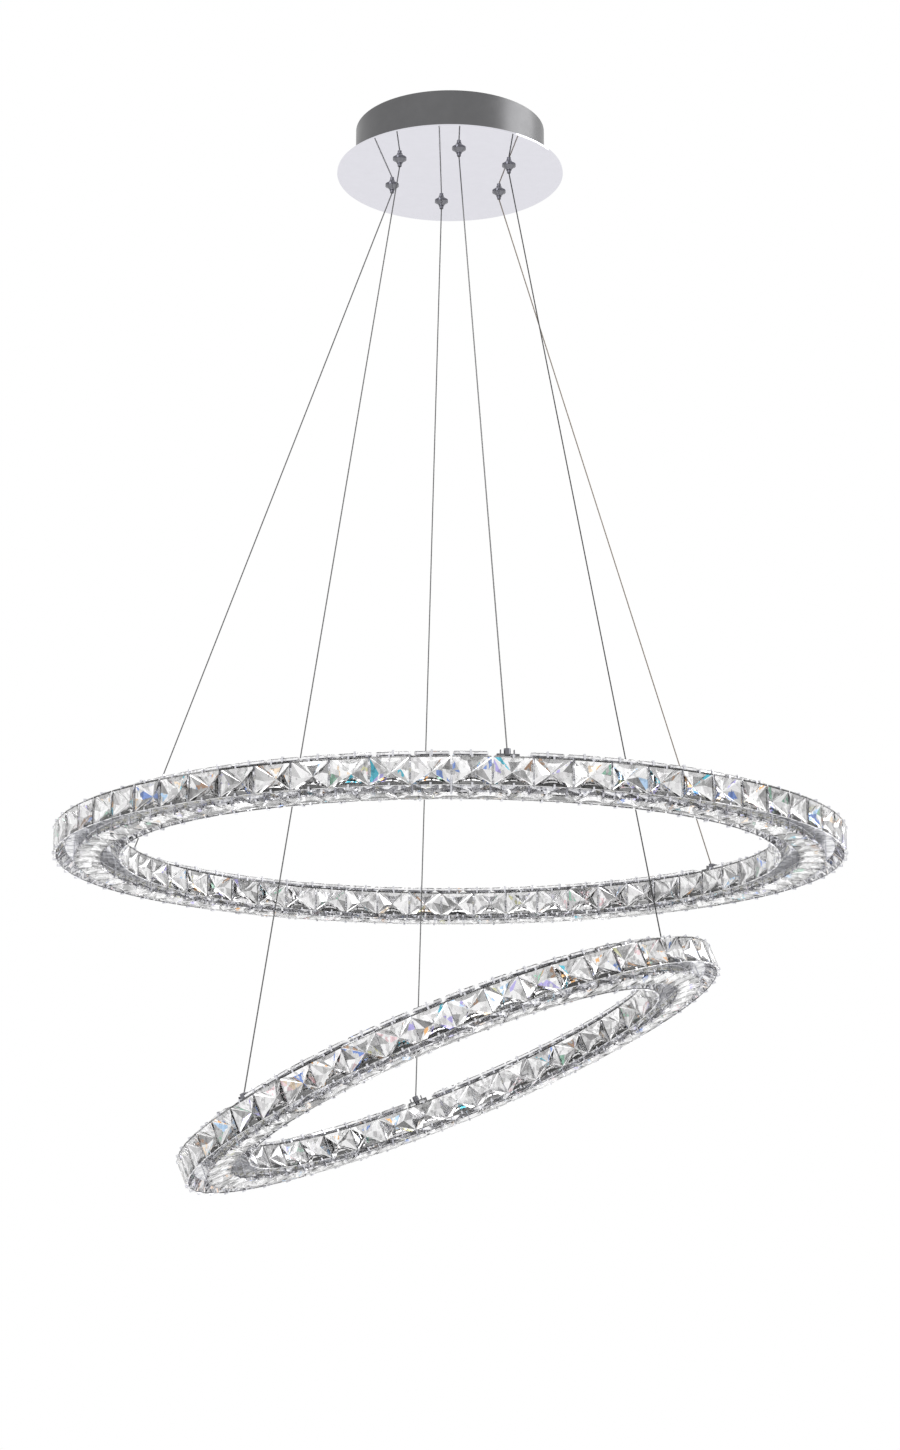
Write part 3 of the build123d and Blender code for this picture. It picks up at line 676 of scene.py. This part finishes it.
@dataclass(frozen=True)
class CrystalCut:
    """How a crystal is cut: a table, bevels, a girdle, ledges and a pointed back with ridges and half-moons."""

    width: float
    height: float = 0.0228
    depth: float = 0.0088
    bevel_inset: float = 0.0011
    bevel_depth: float = 0.0009
    girdle: float = 0.0016
    ledge: float = 0.0009
    ridge: float = 0.0007
    moon_width_share: float = 0.62
    moon_rise_share: float = 0.3
    moon_slope_share: float = 0.72
    moon_steps: int = 8
    fan_parts: int = 3
    wing_reach_share: float = 0.56
    wing_side_share: float = 0.16
    wing_lift_share: float = 0.9

    @staticmethod
    def _level(half_x: float, half_y: float, level: float) -> dict[tuple[int, int], Vector]:
        """The corners of a level rectangle, by the signs of their X and Y."""
        return {(i, j): Vector((i * half_x, j * half_y, level)) for i in SIGNS for j in SIGNS}

    def faces(self) -> list[CutFace]:
        """Cuts the crystal.

        Returns:
            Its faces, with the table on the XY plane facing +Z.
        """
        half_width = self.width / 2
        half_height = self.height / 2
        base = half_height - self.ledge
        low = -self.bevel_depth - self.girdle
        tip = Vector((0, 0, -self.depth))
        table = self._level(half_width - self.bevel_inset, half_height - self.bevel_inset, 0)
        rim = self._level(half_width, half_height, -self.bevel_depth)
        corner = self._level(half_width, half_height, low)
        foot = self._level(half_width, base, low)
        along = self._level(half_width - self.ridge, base, low)
        across = self._level(half_width, base - self.ridge, low)
        made: list[CutFace] = []

        def cut(kind: Facet, corners: Sequence[Vector], *group: object) -> None:
            """Adds one face."""
            made.append(CutFace(tuple(corners), kind, group))

        cut(Facet.FRONT, (table[-1, -1], table[1, -1], table[1, 1], table[-1, 1]))
        for place in table:
            cut(Facet.RIDGE, (along[place], across[place], tip))
            cut(Facet.RIDGE, (along[place], foot[place], across[place]))
        for j in SIGNS:
            moon = self._moon(j, half_width, base, low)
            cut(Facet.FRONT, (table[-1, j], table[1, j], rim[1, j], rim[-1, j]))
            cut(Facet.GIRDLE, (rim[-1, j], rim[1, j], corner[1, j], corner[-1, j]))
            cut(Facet.LEDGE, (corner[-1, j], corner[1, j], foot[1, j], along[1, j], moon[-1], moon[0],
                              along[-1, j], foot[-1, j]), j)
            cut(Facet.HIGH_MOON if j > 0 else Facet.LOW_MOON, moon)
            cut(Facet.MAIN, (along[-1, j], moon[0], tip), "left", j)
            cut(Facet.MAIN, (along[1, j], moon[-1], tip), "right", j)
            for step in range(self.moon_steps):
                part = self.fan_parts * step // self.moon_steps
                cut(Facet.MAIN, (moon[step], moon[step + 1], tip), "fan", part, j)
        for i in SIGNS:
            middle = Vector((i * half_width, 0, low))
            cut(Facet.FRONT, (table[i, -1], table[i, 1], rim[i, 1], rim[i, -1]))
            cut(Facet.GIRDLE, (rim[i, -1], rim[i, 1], corner[i, 1], foot[i, 1], across[i, 1], middle,
                               across[i, -1], foot[i, -1], corner[i, -1]))
            reach = self.wing_reach_share
            sunk = low - (self.depth + low) * (1 - reach) * self.wing_lift_share
            wing = Vector((i * half_width * reach, i * half_height * self.wing_side_share, sunk))
            cut(Facet.MAIN, (across[i, -1], middle, wing), "low side", i)
            cut(Facet.MAIN, (middle, across[i, 1], wing), "high side", i)
            cut(Facet.MAIN, (across[i, -1], wing, tip), "low wing", i)
            cut(Facet.MAIN, (wing, across[i, 1], tip), "high wing", i)
        return made

    def _moon(self, side: int, half_width: float, base: float, low: float) -> list[Vector]:
        """Draws the half-moon facet's outline beside one long edge.

        Args:
            side: 1 for the high edge, or -1 for the low one.
            half_width: Half of the crystal's width.
            base: Half of the pointed back's height.
            low: The level of the girdle's back edge.

        Returns:
            The outline's points, from its left end to its right end.
        """
        slope = (self.depth + low) / base * self.moon_slope_share
        points = []
        for step in range(self.moon_steps + 1):
            turn = math.pi * step / self.moon_steps
            rise = base * self.moon_rise_share * math.sin(turn)
            left = -half_width * self.moon_width_share * math.cos(turn)
            points.append(Vector((left, side * (base - rise), low - slope * rise)))
        return points


@dataclass(frozen=True)
class Palette:
    """The painted reflections that a crystal's back facets show, as they are seen on a screen: tones, and flashes
    of painted colour fire.

    Each of the tones has its share of the facets, its lowest value and its highest.
    """

    # Painted reflection tones of the main facets, and flashes of painted colour fire.
    tones: tuple[tuple[float, float, float], ...] = (
        (0.46, 0.94, 1.0), (0.25, 0.76, 0.92), (0.18, 0.54, 0.74), (0.11, 0.3, 0.5))
    flashes: tuple[Colour, ...] = (
        (1.0, 0.72, 0.42), (0.25, 0.72, 0.82), (0.42, 0.55, 0.85), (0.74, 0.7, 0.97), (0.6, 0.46, 0.36),
        (0.97, 0.82, 0.84), (0.8, 0.8, 0.6), (0.52, 0.72, 0.62), (0.7, 0.85, 1.0), (1.0, 0.9, 0.78))
    # Ridges and girdles get bright painted highlights; ledges and low half-moons get dark painted reflections.
    ridges: tuple[float, float] = (0.9, 1.0)
    girdles: tuple[float, float] = (0.88, 1.0)
    high_moons: tuple[float, float] = (0.62, 0.95)
    low_moons: tuple[float, ...] = (0.26, 0.34, 0.42, 0.55)
    ledges: tuple[float, ...] = (0.18, 0.26, 0.36, 0.6)
    choice_spread: tuple[float, float] = (0.9, 1.1)
    facet_spread: tuple[float, float] = (0.82, 1.0)
    green_share: float = 0.995
    flash_grey_share: float = 0.2
    tone_reach: float = 1.0
    flash_chance: float = 0.09

    def tone(self, random: Random) -> float:
        """Draws one painted reflection tone of a main facet.

        Args:
            random: Where the draws come from.

        Returns:
            The tone, as it is seen on a screen.
        """
        pick = random.random() * self.tone_reach
        for share, low, high in self.tones:
            if pick < share:
                return random.uniform(low, high)
            pick -= share
        return random.uniform(*self.tones[0][1:])

    def colour(self, kind: Facet, random: Random) -> Colour:
        """Draws the linear painted reflection colour of one group of facets.

        Args:
            kind: What the facets are.
            random: Where the draws come from.

        Returns:
            The linear colour.
        """
        spans = {Facet.RIDGE: self.ridges, Facet.GIRDLE: self.girdles, Facet.HIGH_MOON: self.high_moons}
        choices = {Facet.LEDGE: self.ledges, Facet.LOW_MOON: self.low_moons}
        if kind in spans:
            shown = random.uniform(*spans[kind])
        elif kind in choices:
            shown = random.choice(choices[kind]) * random.uniform(*self.choice_spread)
        else:
            shown = self.tone(random)
        mixed = (shown, shown * self.green_share, shown)
        if kind is Facet.MAIN and random.random() < self.flash_chance:
            grey = self.flash_grey_share
            mixed = tuple(shown * grey + (1 - grey) * value for value in random.choice(self.flashes))
        return from_display(*(min(1.0, value) for value in mixed))


class Row(Enum):
    """The four rows of crystals on a ring, by the side that they face."""

    OUTER = "outer"
    INNER = "inner"
    TOP = "top"
    BOTTOM = "bottom"


@dataclass
class CrystalRing:
    """One ring: its crystals and LED strips, and the finishes of its frame, claws and brackets."""

    name: str
    diameter: float
    drop: float
    anchors: tuple[float, ...]
    tilt: float = 0.0
    high_side_azimuth: float = 0.0
    frame_width: float = 0.039
    frame_height: float = 0.0126
    strip_thickness: float = 0.0014
    strip_back_gap: float = 0.0003
    strip_side_height: float = 0.008
    strip_face_width: float = 0.01
    strip_step: float = 2.5
    strip_least_steps: int = 8
    crystal_width: float = 0.03
    crystal_least_gap: float = 0.00058
    face_row_gap: float = 0.0007
    side_row_drop: float = 0.0022
    bracket_space: float = 0.0262
    chip_pitch: float = 0.0125
    chip_size: tuple[float, float, float] = (0.0035, 0.0028, 0.0007)
    chip_rise: float = 0.0001
    chip_top_share: float = 0.86
    outer_palette: Palette = Palette(tone_reach=0.88, flash_chance=0.27)
    inner_palette: Palette = Palette(tone_reach=0.8)
    face_palette: Palette = Palette()
    seed: int = 42

    @property
    def body(self) -> str:
        """The CAD body that the ring's pieces ride on."""
        return f"{self.name}_ring"

    @property
    def stand_off(self) -> float:
        """How far the crystals' tables stand from the frame."""
        return self.strip_thickness + self.strip_back_gap + CrystalCut(self.crystal_width).depth

    @property
    def table_radius(self) -> float:
        """Radius of the outer tables."""
        return self.diameter / 2

    @property
    def middle_radius(self) -> float:
        """Radius of the middle of the ring's section."""
        return self.table_radius - self.frame_width / 2 - self.stand_off

    @property
    def place(self) -> Matrix:
        """Where the ring hangs in the pendant's frame."""
        turn, lean = math.radians(self.high_side_azimuth), math.radians(-self.tilt)
        turned = Matrix.Rotation(turn, 4, "Z") @ Matrix.Rotation(lean, 4, "Y") @ Matrix.Rotation(-turn, 4, "Z")
        return Matrix.Translation((0, 0, -self.drop)) @ turned

    def crystals_round(self, radius: float) -> int:
        """How many crystals go round a radius, the same number between each two wires."""
        between = 2 * math.pi * radius / len(self.anchors)
        return len(self.anchors) * math.floor(between / (self.crystal_width + self.crystal_least_gap))

    @property
    def face_width(self) -> float:
        """Width of the crystals in the top and bottom rows."""
        narrowest = self.middle_radius - CrystalCut(self.crystal_width).height / 2
        pitch = 2 * narrowest * math.tan(math.pi / self.crystals_round(self.table_radius))
        return pitch - self.face_row_gap

    def seats(self, row: Row) -> Iterator[Matrix]:
        """Gives the place of each crystal of a row, starting at the first wire.

        Args:
            row: Which row.

        Yields:
            The crystal's place in the ring's frame.
        """
        first = self.anchors[0]
        side = 1 if row in (Row.OUTER, Row.TOP) else -1
        if row in (Row.OUTER, Row.INNER):
            inner_radius = 2 * self.middle_radius - self.table_radius
            radius = self.table_radius if row is Row.OUTER else inner_radius
            for azimuth in azimuths(self.crystals_round(radius), first):
                yield facing_out(radius, azimuth, -self.side_row_drop, side)
            return
        count = self.crystals_round(self.table_radius)
        level = side * (self.frame_height / 2 + self.stand_off)
        between_wires = count // len(self.anchors)
        if row is Row.BOTTOM:
            first += FULL_TURN / 2 / count
        for index, azimuth in enumerate(azimuths(count, first)):
            if row is Row.BOTTOM or index % between_wires:
                yield facing_up(self.middle_radius, azimuth, level, side)

    def crystals(self, row: Row) -> bpy.types.Object:
        """Builds a row of cut crystals in place of the plain ones.

        Args:
            row: Which row.

        Returns:
            The row's object.
        """
        side_row = row in (Row.OUTER, Row.INNER)
        cut = CrystalCut(self.crystal_width if side_row else self.face_width).faces()
        random = Random(f"{self.name} {row.value} {self.seed}")
        finishes = (CLEAR_CRYSTAL, CRYSTAL_FACETS)
        body = Body(f"{self.name}_{row.value}_cut_crystals", *finishes)
        slots = [finishes.index(CLEAR_CRYSTAL if face.kind is Facet.FRONT else CRYSTAL_FACETS) for face in cut]
        palette = {Row.OUTER: self.outer_palette, Row.INNER: self.inner_palette}.get(row, self.face_palette)
        for place in self.seats(row):
            put = self.place @ place
            # Each group of facets gets a painted reflection colour, and each main facet a somewhat darker share
            # of it.
            groups: dict[tuple[object, ...], Colour] = {}
            painted_reflections = []
            for face in cut:
                key = (face.kind, *face.group)
                if key not in groups:
                    groups[key] = palette.colour(face.kind, random)
                share = random.uniform(*palette.facet_spread) if face.kind is Facet.MAIN else 1.0
                painted_reflections.append(tuple(share * value for value in groups[key]))
            body.solid([[put @ corner for corner in face.corners] for face in cut], slots, painted_reflections)
        piece = body.build()
        fit(piece, f"{self.name}_{row.value}_crystals", self.body)
        return piece

    def strips(self) -> bpy.types.Object:
        """Builds the LED strips with their chips in place of the plain bands.

        Returns:
            The strips' object.
        """
        body = Body(f"{self.name}_led_tape", LED_COAT, LED_CHIP)
        tape = self.strip_thickness - self.chip_size[2] - self.chip_rise
        half_tall = self.strip_side_height / 2
        for side in (1, -1):
            radius = self.middle_radius + side * self.frame_width / 2
            top = radius + side * tape
            self._band(body, (radius, -half_tall), (top, -half_tall), (top, half_tall), (radius, half_tall))
            for azimuth in azimuths(int(2 * math.pi * radius / self.chip_pitch)):
                self._chip(body, facing_out(top, azimuth, 0.0, side))
        near, far = (self.middle_radius + side * self.strip_face_width / 2 for side in SIGNS)
        gap = math.degrees(self.bracket_space / self.middle_radius)
        arcs = [(1, anchor + gap / 2, FULL_TURN / len(self.anchors) - gap) for anchor in self.anchors]
        for side, start, sweep in [(-1, 0.0, FULL_TURN), *arcs]:
            level = side * self.frame_height / 2
            top = level + side * tape
            self._band(body, (near, level), (far, level), (far, top), (near, top), start=start, sweep=sweep)
            chips = int(math.radians(sweep) * self.middle_radius / self.chip_pitch)
            for index in range(chips):
                azimuth = start + sweep * (index + 0.5) / chips
                self._chip(body, facing_up(self.middle_radius, azimuth, top, side))
        piece = body.build()
        fit(piece, f"{self.name}_ring_led_strips", self.body)
        return piece

    def _band(self, body: Body, *section: tuple[float, float], start: float = 0.0,
              sweep: float = FULL_TURN) -> None:
        """Adds a band, swept round the ring.

        Args:
            body: The body that it goes into.
            *section: The section's corners, each with its radius and level.
            start: The azimuth where it starts, in degrees.
            sweep: How far it goes round, in degrees.
        """
        whole = sweep >= FULL_TURN
        steps = max(self.strip_least_steps, int(sweep / self.strip_step))
        rings = [[self.place @ round_point(radius, start + sweep * index / steps, level)
                  for radius, level in section] for index in range(steps if whole else steps + 1)]
        body.grid(rings, 0, closed=whole)

    def _chip(self, body: Body, place: Matrix) -> None:
        """Adds one LED chip that stands on the band, a little narrower at its top.

        Args:
            body: The body that it goes into.
            place: Its place in the ring's frame.
        """
        length, width, height = self.chip_size
        rings = []
        for level, share in ((0.0, 1.0), (height, self.chip_top_share)):
            x, y = share * length / 2, share * width / 2
            rings.append([self.place @ place @ Vector((i * x, j * y, level))
                          for i, j in ((-1, -1), (1, -1), (1, 1), (-1, 1))])
        body.grid(rings, 1)

    def build(self) -> None:
        """Builds the ring's pieces and dresses its own CAD nodes."""
        for piece in (*(self.crystals(row) for row in Row), self.strips()):
            log.info("%s: %d faces", piece.name, len(piece.data.polygons))
        paint(FRAME_STEEL, f"{self.name}_ring_channel", f"{self.name}_ring_cover")
        paint(CLAW_STEEL, f"{self.name}_crystal_claws")
        paint(BRIDGE_STEEL, f"{self.name}_wire_brackets")
        paint(NICKEL, f"{self.name}_wire_bushings", f"{self.name}_wire_balls")


# Canopy, grippers and wires


class Canopy:
    """The canopy: drum, plate, bracket, driver and terminal block, all as the CAD gives them."""

    finishes: dict[Finish, tuple[str, ...]] = {
        ZINC: ("ceiling_bracket", "canopy_plate_nuts", "driver_nuts", "terminal_screws"),
        DRUM_STEEL: ("canopy_drum",),
        BLACK_STEEL: ("canopy_set_screws",),
        MIRROR_STEEL: ("canopy_plate",),
        WHITE_PLASTIC: ("driver_case", "driver_lid", "terminal_block"),
        GREEN_BOARD: ("driver_board",),
        NICKEL: ("gripper_nuts", "gripper_plugs"),
    }

    def dress(self) -> None:
        """Gives the canopy's CAD nodes their finishes."""
        for finish, nodes in self.finishes.items():
            paint(finish, *nodes)
        log.info("canopy: %d nodes dressed", sum(map(len, self.finishes.values())))


@dataclass
class Gripper:
    """One cable gripper: its body, its plunger and the spring between them."""

    number: int
    azimuth: float
    circle_radius: float = 0.0595
    plate_bottom: float = -0.0435
    spring_mean_radius: float = 0.0020
    spring_wire_radius: float = 0.00025
    spring_foot: float = 0.0038
    spring_head: float = 0.0117
    spring_turns: int = 5
    spring_closed_turn: float = 0.5
    steps_in_turn: int = 20
    wire_sides: int = 8
    release_travel: float = 0.002

    def spring(self) -> bpy.types.Object:
        """Builds the return spring, with a closed coil at each end.

        Returns:
            The spring's object.
        """
        body = Body(f"gripper_coil_{self.number}", SPRING_STEEL)
        centre = round_point(self.circle_radius, self.azimuth, self.plate_bottom)
        rise = self.spring_head - self.spring_foot
        turns = self.spring_turns + 2 * self.spring_closed_turn
        rings = []
        for step in range(int(turns * self.steps_in_turn) + 1):
            angle = 2 * math.pi * step / self.steps_in_turn
            climbed = (step / self.steps_in_turn - self.spring_closed_turn) / self.spring_turns
            level = self.spring_foot + min(max(climbed, 0.0), 1.0) * rise
            outward = Vector((math.cos(angle), math.sin(angle), 0))
            middle = centre + outward * self.spring_mean_radius + Vector((0, 0, level))
            rings.append([middle + (outward * math.cos(turn) + Vector((0, 0, math.sin(turn))))
                          * self.spring_wire_radius
                          for turn in (2 * math.pi * side / self.wire_sides for side in range(self.wire_sides))])
        body.grid(rings)
        piece = body.build(smooth=True)
        fit(piece, f"gripper_spring_{self.number}", "canopy")
        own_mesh(piece)
        return piece

    def build(self) -> None:
        """Builds the spring and dresses the gripper's CAD nodes."""
        piece = self.spring()
        paint(NICKEL, f"gripper_body_{self.number}", f"gripper_plunger_{self.number}")
        log.info("gripper %d: %s", self.number, piece.name)


@dataclass
class SuspensionWire:
    """One taut wire, from inside its gripper down to its ring."""

    number: int
    gripper: Gripper
    ring: CrystalRing
    joint_travel: float
    finish: Finish
    radius: float = 0.0006
    tail: float = 0.019
    neck_drop: float = 0.0051
    mouth_drop: float = 0.008
    bend_reach: float = 0.004
    ball_level: float = 0.019186
    ball_reach: float = 0.00155
    strands: int = 6
    strand_depth_share: float = 0.12
    sides: int = 18
    lay_length: float = 0.009
    step_length: float = 0.0011
    curve_resolution: int = 24
    curve_order: int = 3

    @property
    def mouth(self) -> Vector:
        """Where the wire turns out of its gripper."""
        return round_point(self.gripper.circle_radius, self.gripper.azimuth,
                           self.gripper.plate_bottom - self.mouth_drop)

    @property
    def end(self) -> Vector:
        """Where the wire meets its ball terminal."""
        ball = self.ring.place @ round_point(self.ring.middle_radius, self.gripper.azimuth, self.ball_level)
        return ball + (self.mouth - ball).normalized() * self.ball_reach

    def route(self) -> list[Vector]:
        """Lays the wire's route: tail, bend at the gripper's mouth and the long straight run.

        Returns:
            The route's points.
        """
        top = Vector((self.mouth.x, self.mouth.y, self.gripper.plate_bottom + self.tail))
        down = (self.end - self.mouth).normalized()
        return [top, self.mouth + Vector((0, 0, self.bend_reach)), self.mouth,
                self.mouth + down * self.bend_reach, self.end]

    def centreline(self) -> list[Vector]:
        """Reads the smooth line of the route.

        Returns:
            Points along the line, evenly spaced.
        """
        curve = bpy.data.curves.new(f"wire_route_{self.number}", "CURVE")
        curve.dimensions = "3D"
        curve.resolution_u = self.curve_resolution
        spline = curve.splines.new("NURBS")
        route = self.route()
        spline.points.add(len(route) - 1)
        for point, place in zip(spline.points, route):
            point.co = (*place, 1.0)
        spline.order_u = self.curve_order
        spline.use_endpoint_u = True
        guide = link(curve.name, curve)
        read = bpy.data.meshes.new_from_object(guide)
        line = [vertex.co.copy() for vertex in read.vertices]
        bpy.data.meshes.remove(read)
        bpy.data.objects.remove(guide)
        bpy.data.curves.remove(curve)
        return self._evenly(line)

    def _evenly(self, line: Sequence[Vector]) -> list[Vector]:
        """Spaces points evenly along a line.

        Args:
            line: The line's own points.

        Returns:
            The evenly spaced points.
        """
        lengths = [0.0]
        for start, end in zip(line, line[1:]):
            lengths.append(lengths[-1] + (end - start).length)
        count = max(2, round(lengths[-1] / self.step_length))
        points = []
        index = 0
        for step in range(count + 1):
            target = lengths[-1] * step / count
            while index < len(line) - 2 and lengths[index + 1] < target:
                index += 1
            span = lengths[index + 1] - lengths[index]
            share = (target - lengths[index]) / span if span else 0.0
            points.append(line[index].lerp(line[index + 1], share))
        return points

    def tube(self, line: Sequence[Vector]) -> bpy.types.Object:
        """Builds the stranded wire: a lobed tube that turns steadily along its length.

        Args:
            line: The centreline.

        Returns:
            The wire's object.
        """
        body = Body(f"stranded_wire_{self.number}", self.finish)
        side = Vector((1, 0, 0))
        travelled = 0.0
        rings = []
        for index, middle in enumerate(line):
            before, after = line[max(index - 1, 0)], line[min(index + 1, len(line) - 1)]
            along = (after - before).normalized()
            side = (side - along * side.dot(along)).normalized()
            other = along.cross(side)
            travelled += (middle - before).length
            twist = 2 * math.pi * travelled / self.lay_length
            ring = []
            for corner in range(self.sides):
                angle = 2 * math.pi * corner / self.sides
                sunk = (1 - math.cos(self.strands * (angle - twist))) / 2
                reach = self.radius * (1 - self.strand_depth_share * sunk)
                ring.append(middle + (side * math.cos(angle) + other * math.sin(angle)) * reach)
            rings.append(ring)
        body.grid(rings)
        return body.build(smooth=True)

    def build(self) -> None:
        line = self.centreline()
        length = sum((b - a).length for a, b in zip(line, line[1:]))
        piece = self.tube(line)
        fit(piece, f"suspension_wire_{self.number}", "canopy")
        leaves = self.mouth + Vector((0, 0, self.mouth_drop - self.neck_drop))
        [tuple(point) for point in line]
        keep = 1 - self.joint_travel / (self.mouth.z - self.end.z)
        tuple(self.mouth)
        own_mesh(piece)
        log.info("wire %d: %.1f mm", self.number, 1000 * length)


# Studio


@dataclass(frozen=True)
class Lamp:
    """One soft square lamp, with its place and side in metres and its power in watts."""

    name: str
    place: tuple[float, float, float]
    side: float
    watts: float

    def hang(self, target: Vector) -> None:
        """Hangs the lamp.

        Args:
            target: What it points at.
        """
        data = bpy.data.lights.new(self.name, "AREA")
        data.shape = "SQUARE"
        data.size = self.side
        data.energy = self.watts
        lamp = link(self.name, data)
        lamp.location = self.place
        lamp.rotation_euler = (target - Vector(self.place)).to_track_quat("-Z", "Y").to_euler()


@dataclass
class Studio:
    """The plain pale studio: floor, soft lamps, white backdrop and the photograph's camera."""

    camera_place: tuple[float, float, float] = (0.0, -2.3694, -1.1231)
    camera_pitch: float = 12.99
    lens_mm: float = 67.04
    sensor_mm: float = 36.0
    view_reach: float = 100.0
    lamps: tuple[Lamp, ...] = (
        Lamp("key_lamp", (-1.6, -2.4, -1.9), 1.4, 20.0),
        Lamp("side_lamp", (3.0, 0.2, 1.2), 2.6, 60.0),
        Lamp("top_lamp", (-0.6, -0.4, 2.2), 2.0, 30.0))
    lamp_target: tuple[float, float, float] = (0.0, 0.0, -0.6)
    floor_finish: Finish = FloorPaint("Pale floor", (0.95, 0.95, 0.95), 0.7)
    floor_level: float = -2.3
    floor_thickness: float = 0.02
    floor_radius: float = 6.0
    floor_sides: int = 72
    ambient: float = 1.0

    def camera(self) -> None:
        """Sets the camera where the photograph was taken from."""
        data = bpy.data.cameras.new("view_camera")
        data.lens = self.lens_mm
        data.sensor_width = self.sensor_mm
        data.clip_end = self.view_reach
        camera = link("view_camera", data)
        camera.location = self.camera_place
        camera.rotation_euler = (math.radians(90 + self.camera_pitch), 0, 0)
        bpy.context.scene.camera = camera

    def floor(self) -> None:
        """Lays the pale floor."""
        body = Body("studio_floor", self.floor_finish)
        body.grid([[round_point(self.floor_radius, -azimuth, level) for azimuth in azimuths(self.floor_sides)]
                   for level in (self.floor_level - self.floor_thickness, self.floor_level)])
        body.build()

    def world(self) -> None:
        """Makes the white backdrop, which lights the object as strongly as the ambient share says."""
        world = bpy.data.worlds.new("studio_world")
        world.use_nodes = True
        bpy.context.scene.world = world
        graph = Graph(world.node_tree)
        graph.fill(world.node_tree.nodes["Background"], {
            "Color": (*WHITE, 1.0), "Strength": graph.span(graph.seen(), self.ambient, 1.0)})

    def build(self) -> None:
        """Builds the whole studio."""
        self.camera()
        for lamp in self.lamps:
            lamp.hang(Vector(self.lamp_target))
        self.floor()
        self.world()
        bpy.context.scene.view_settings.view_transform = "Standard"


def main() -> None:
    """Builds the studio and dresses the pendant, piece by piece."""
    logging.basicConfig(level=logging.INFO, format="%(name)s: %(message)s")
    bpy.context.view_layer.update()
    gripper_azimuths = azimuths(GRIPPER_COUNT, FIRST_GRIPPER_AZIMUTH)
    Studio().build()
    large = CrystalRing("large", diameter=0.7, drop=0.69, anchors=tuple(gripper_azimuths[0::2]))
    small = CrystalRing("small", diameter=0.5, drop=0.8835, anchors=tuple(gripper_azimuths[1::2]),
                        tilt=22.2, high_side_azimuth=-10.2)
    travel = {joint["name"]: joint["range_m"][1] for joint in frame["joints"]}
    Canopy().dress()
    for number, azimuth in enumerate(gripper_azimuths, start=1):
        ring = large if azimuth in large.anchors else small
        gripper = Gripper(number, azimuth)
        gripper.build()
        finish = {2: DARK_WIRE, 3: WARM_WIRE}.get(number, WIRE_STEEL)
        SuspensionWire(number, gripper, ring, travel[f"{ring.name}_ring_height"], finish).build()
    for ring in (large, small):
        ring.build()


if __name__ == "__main__":
    main()
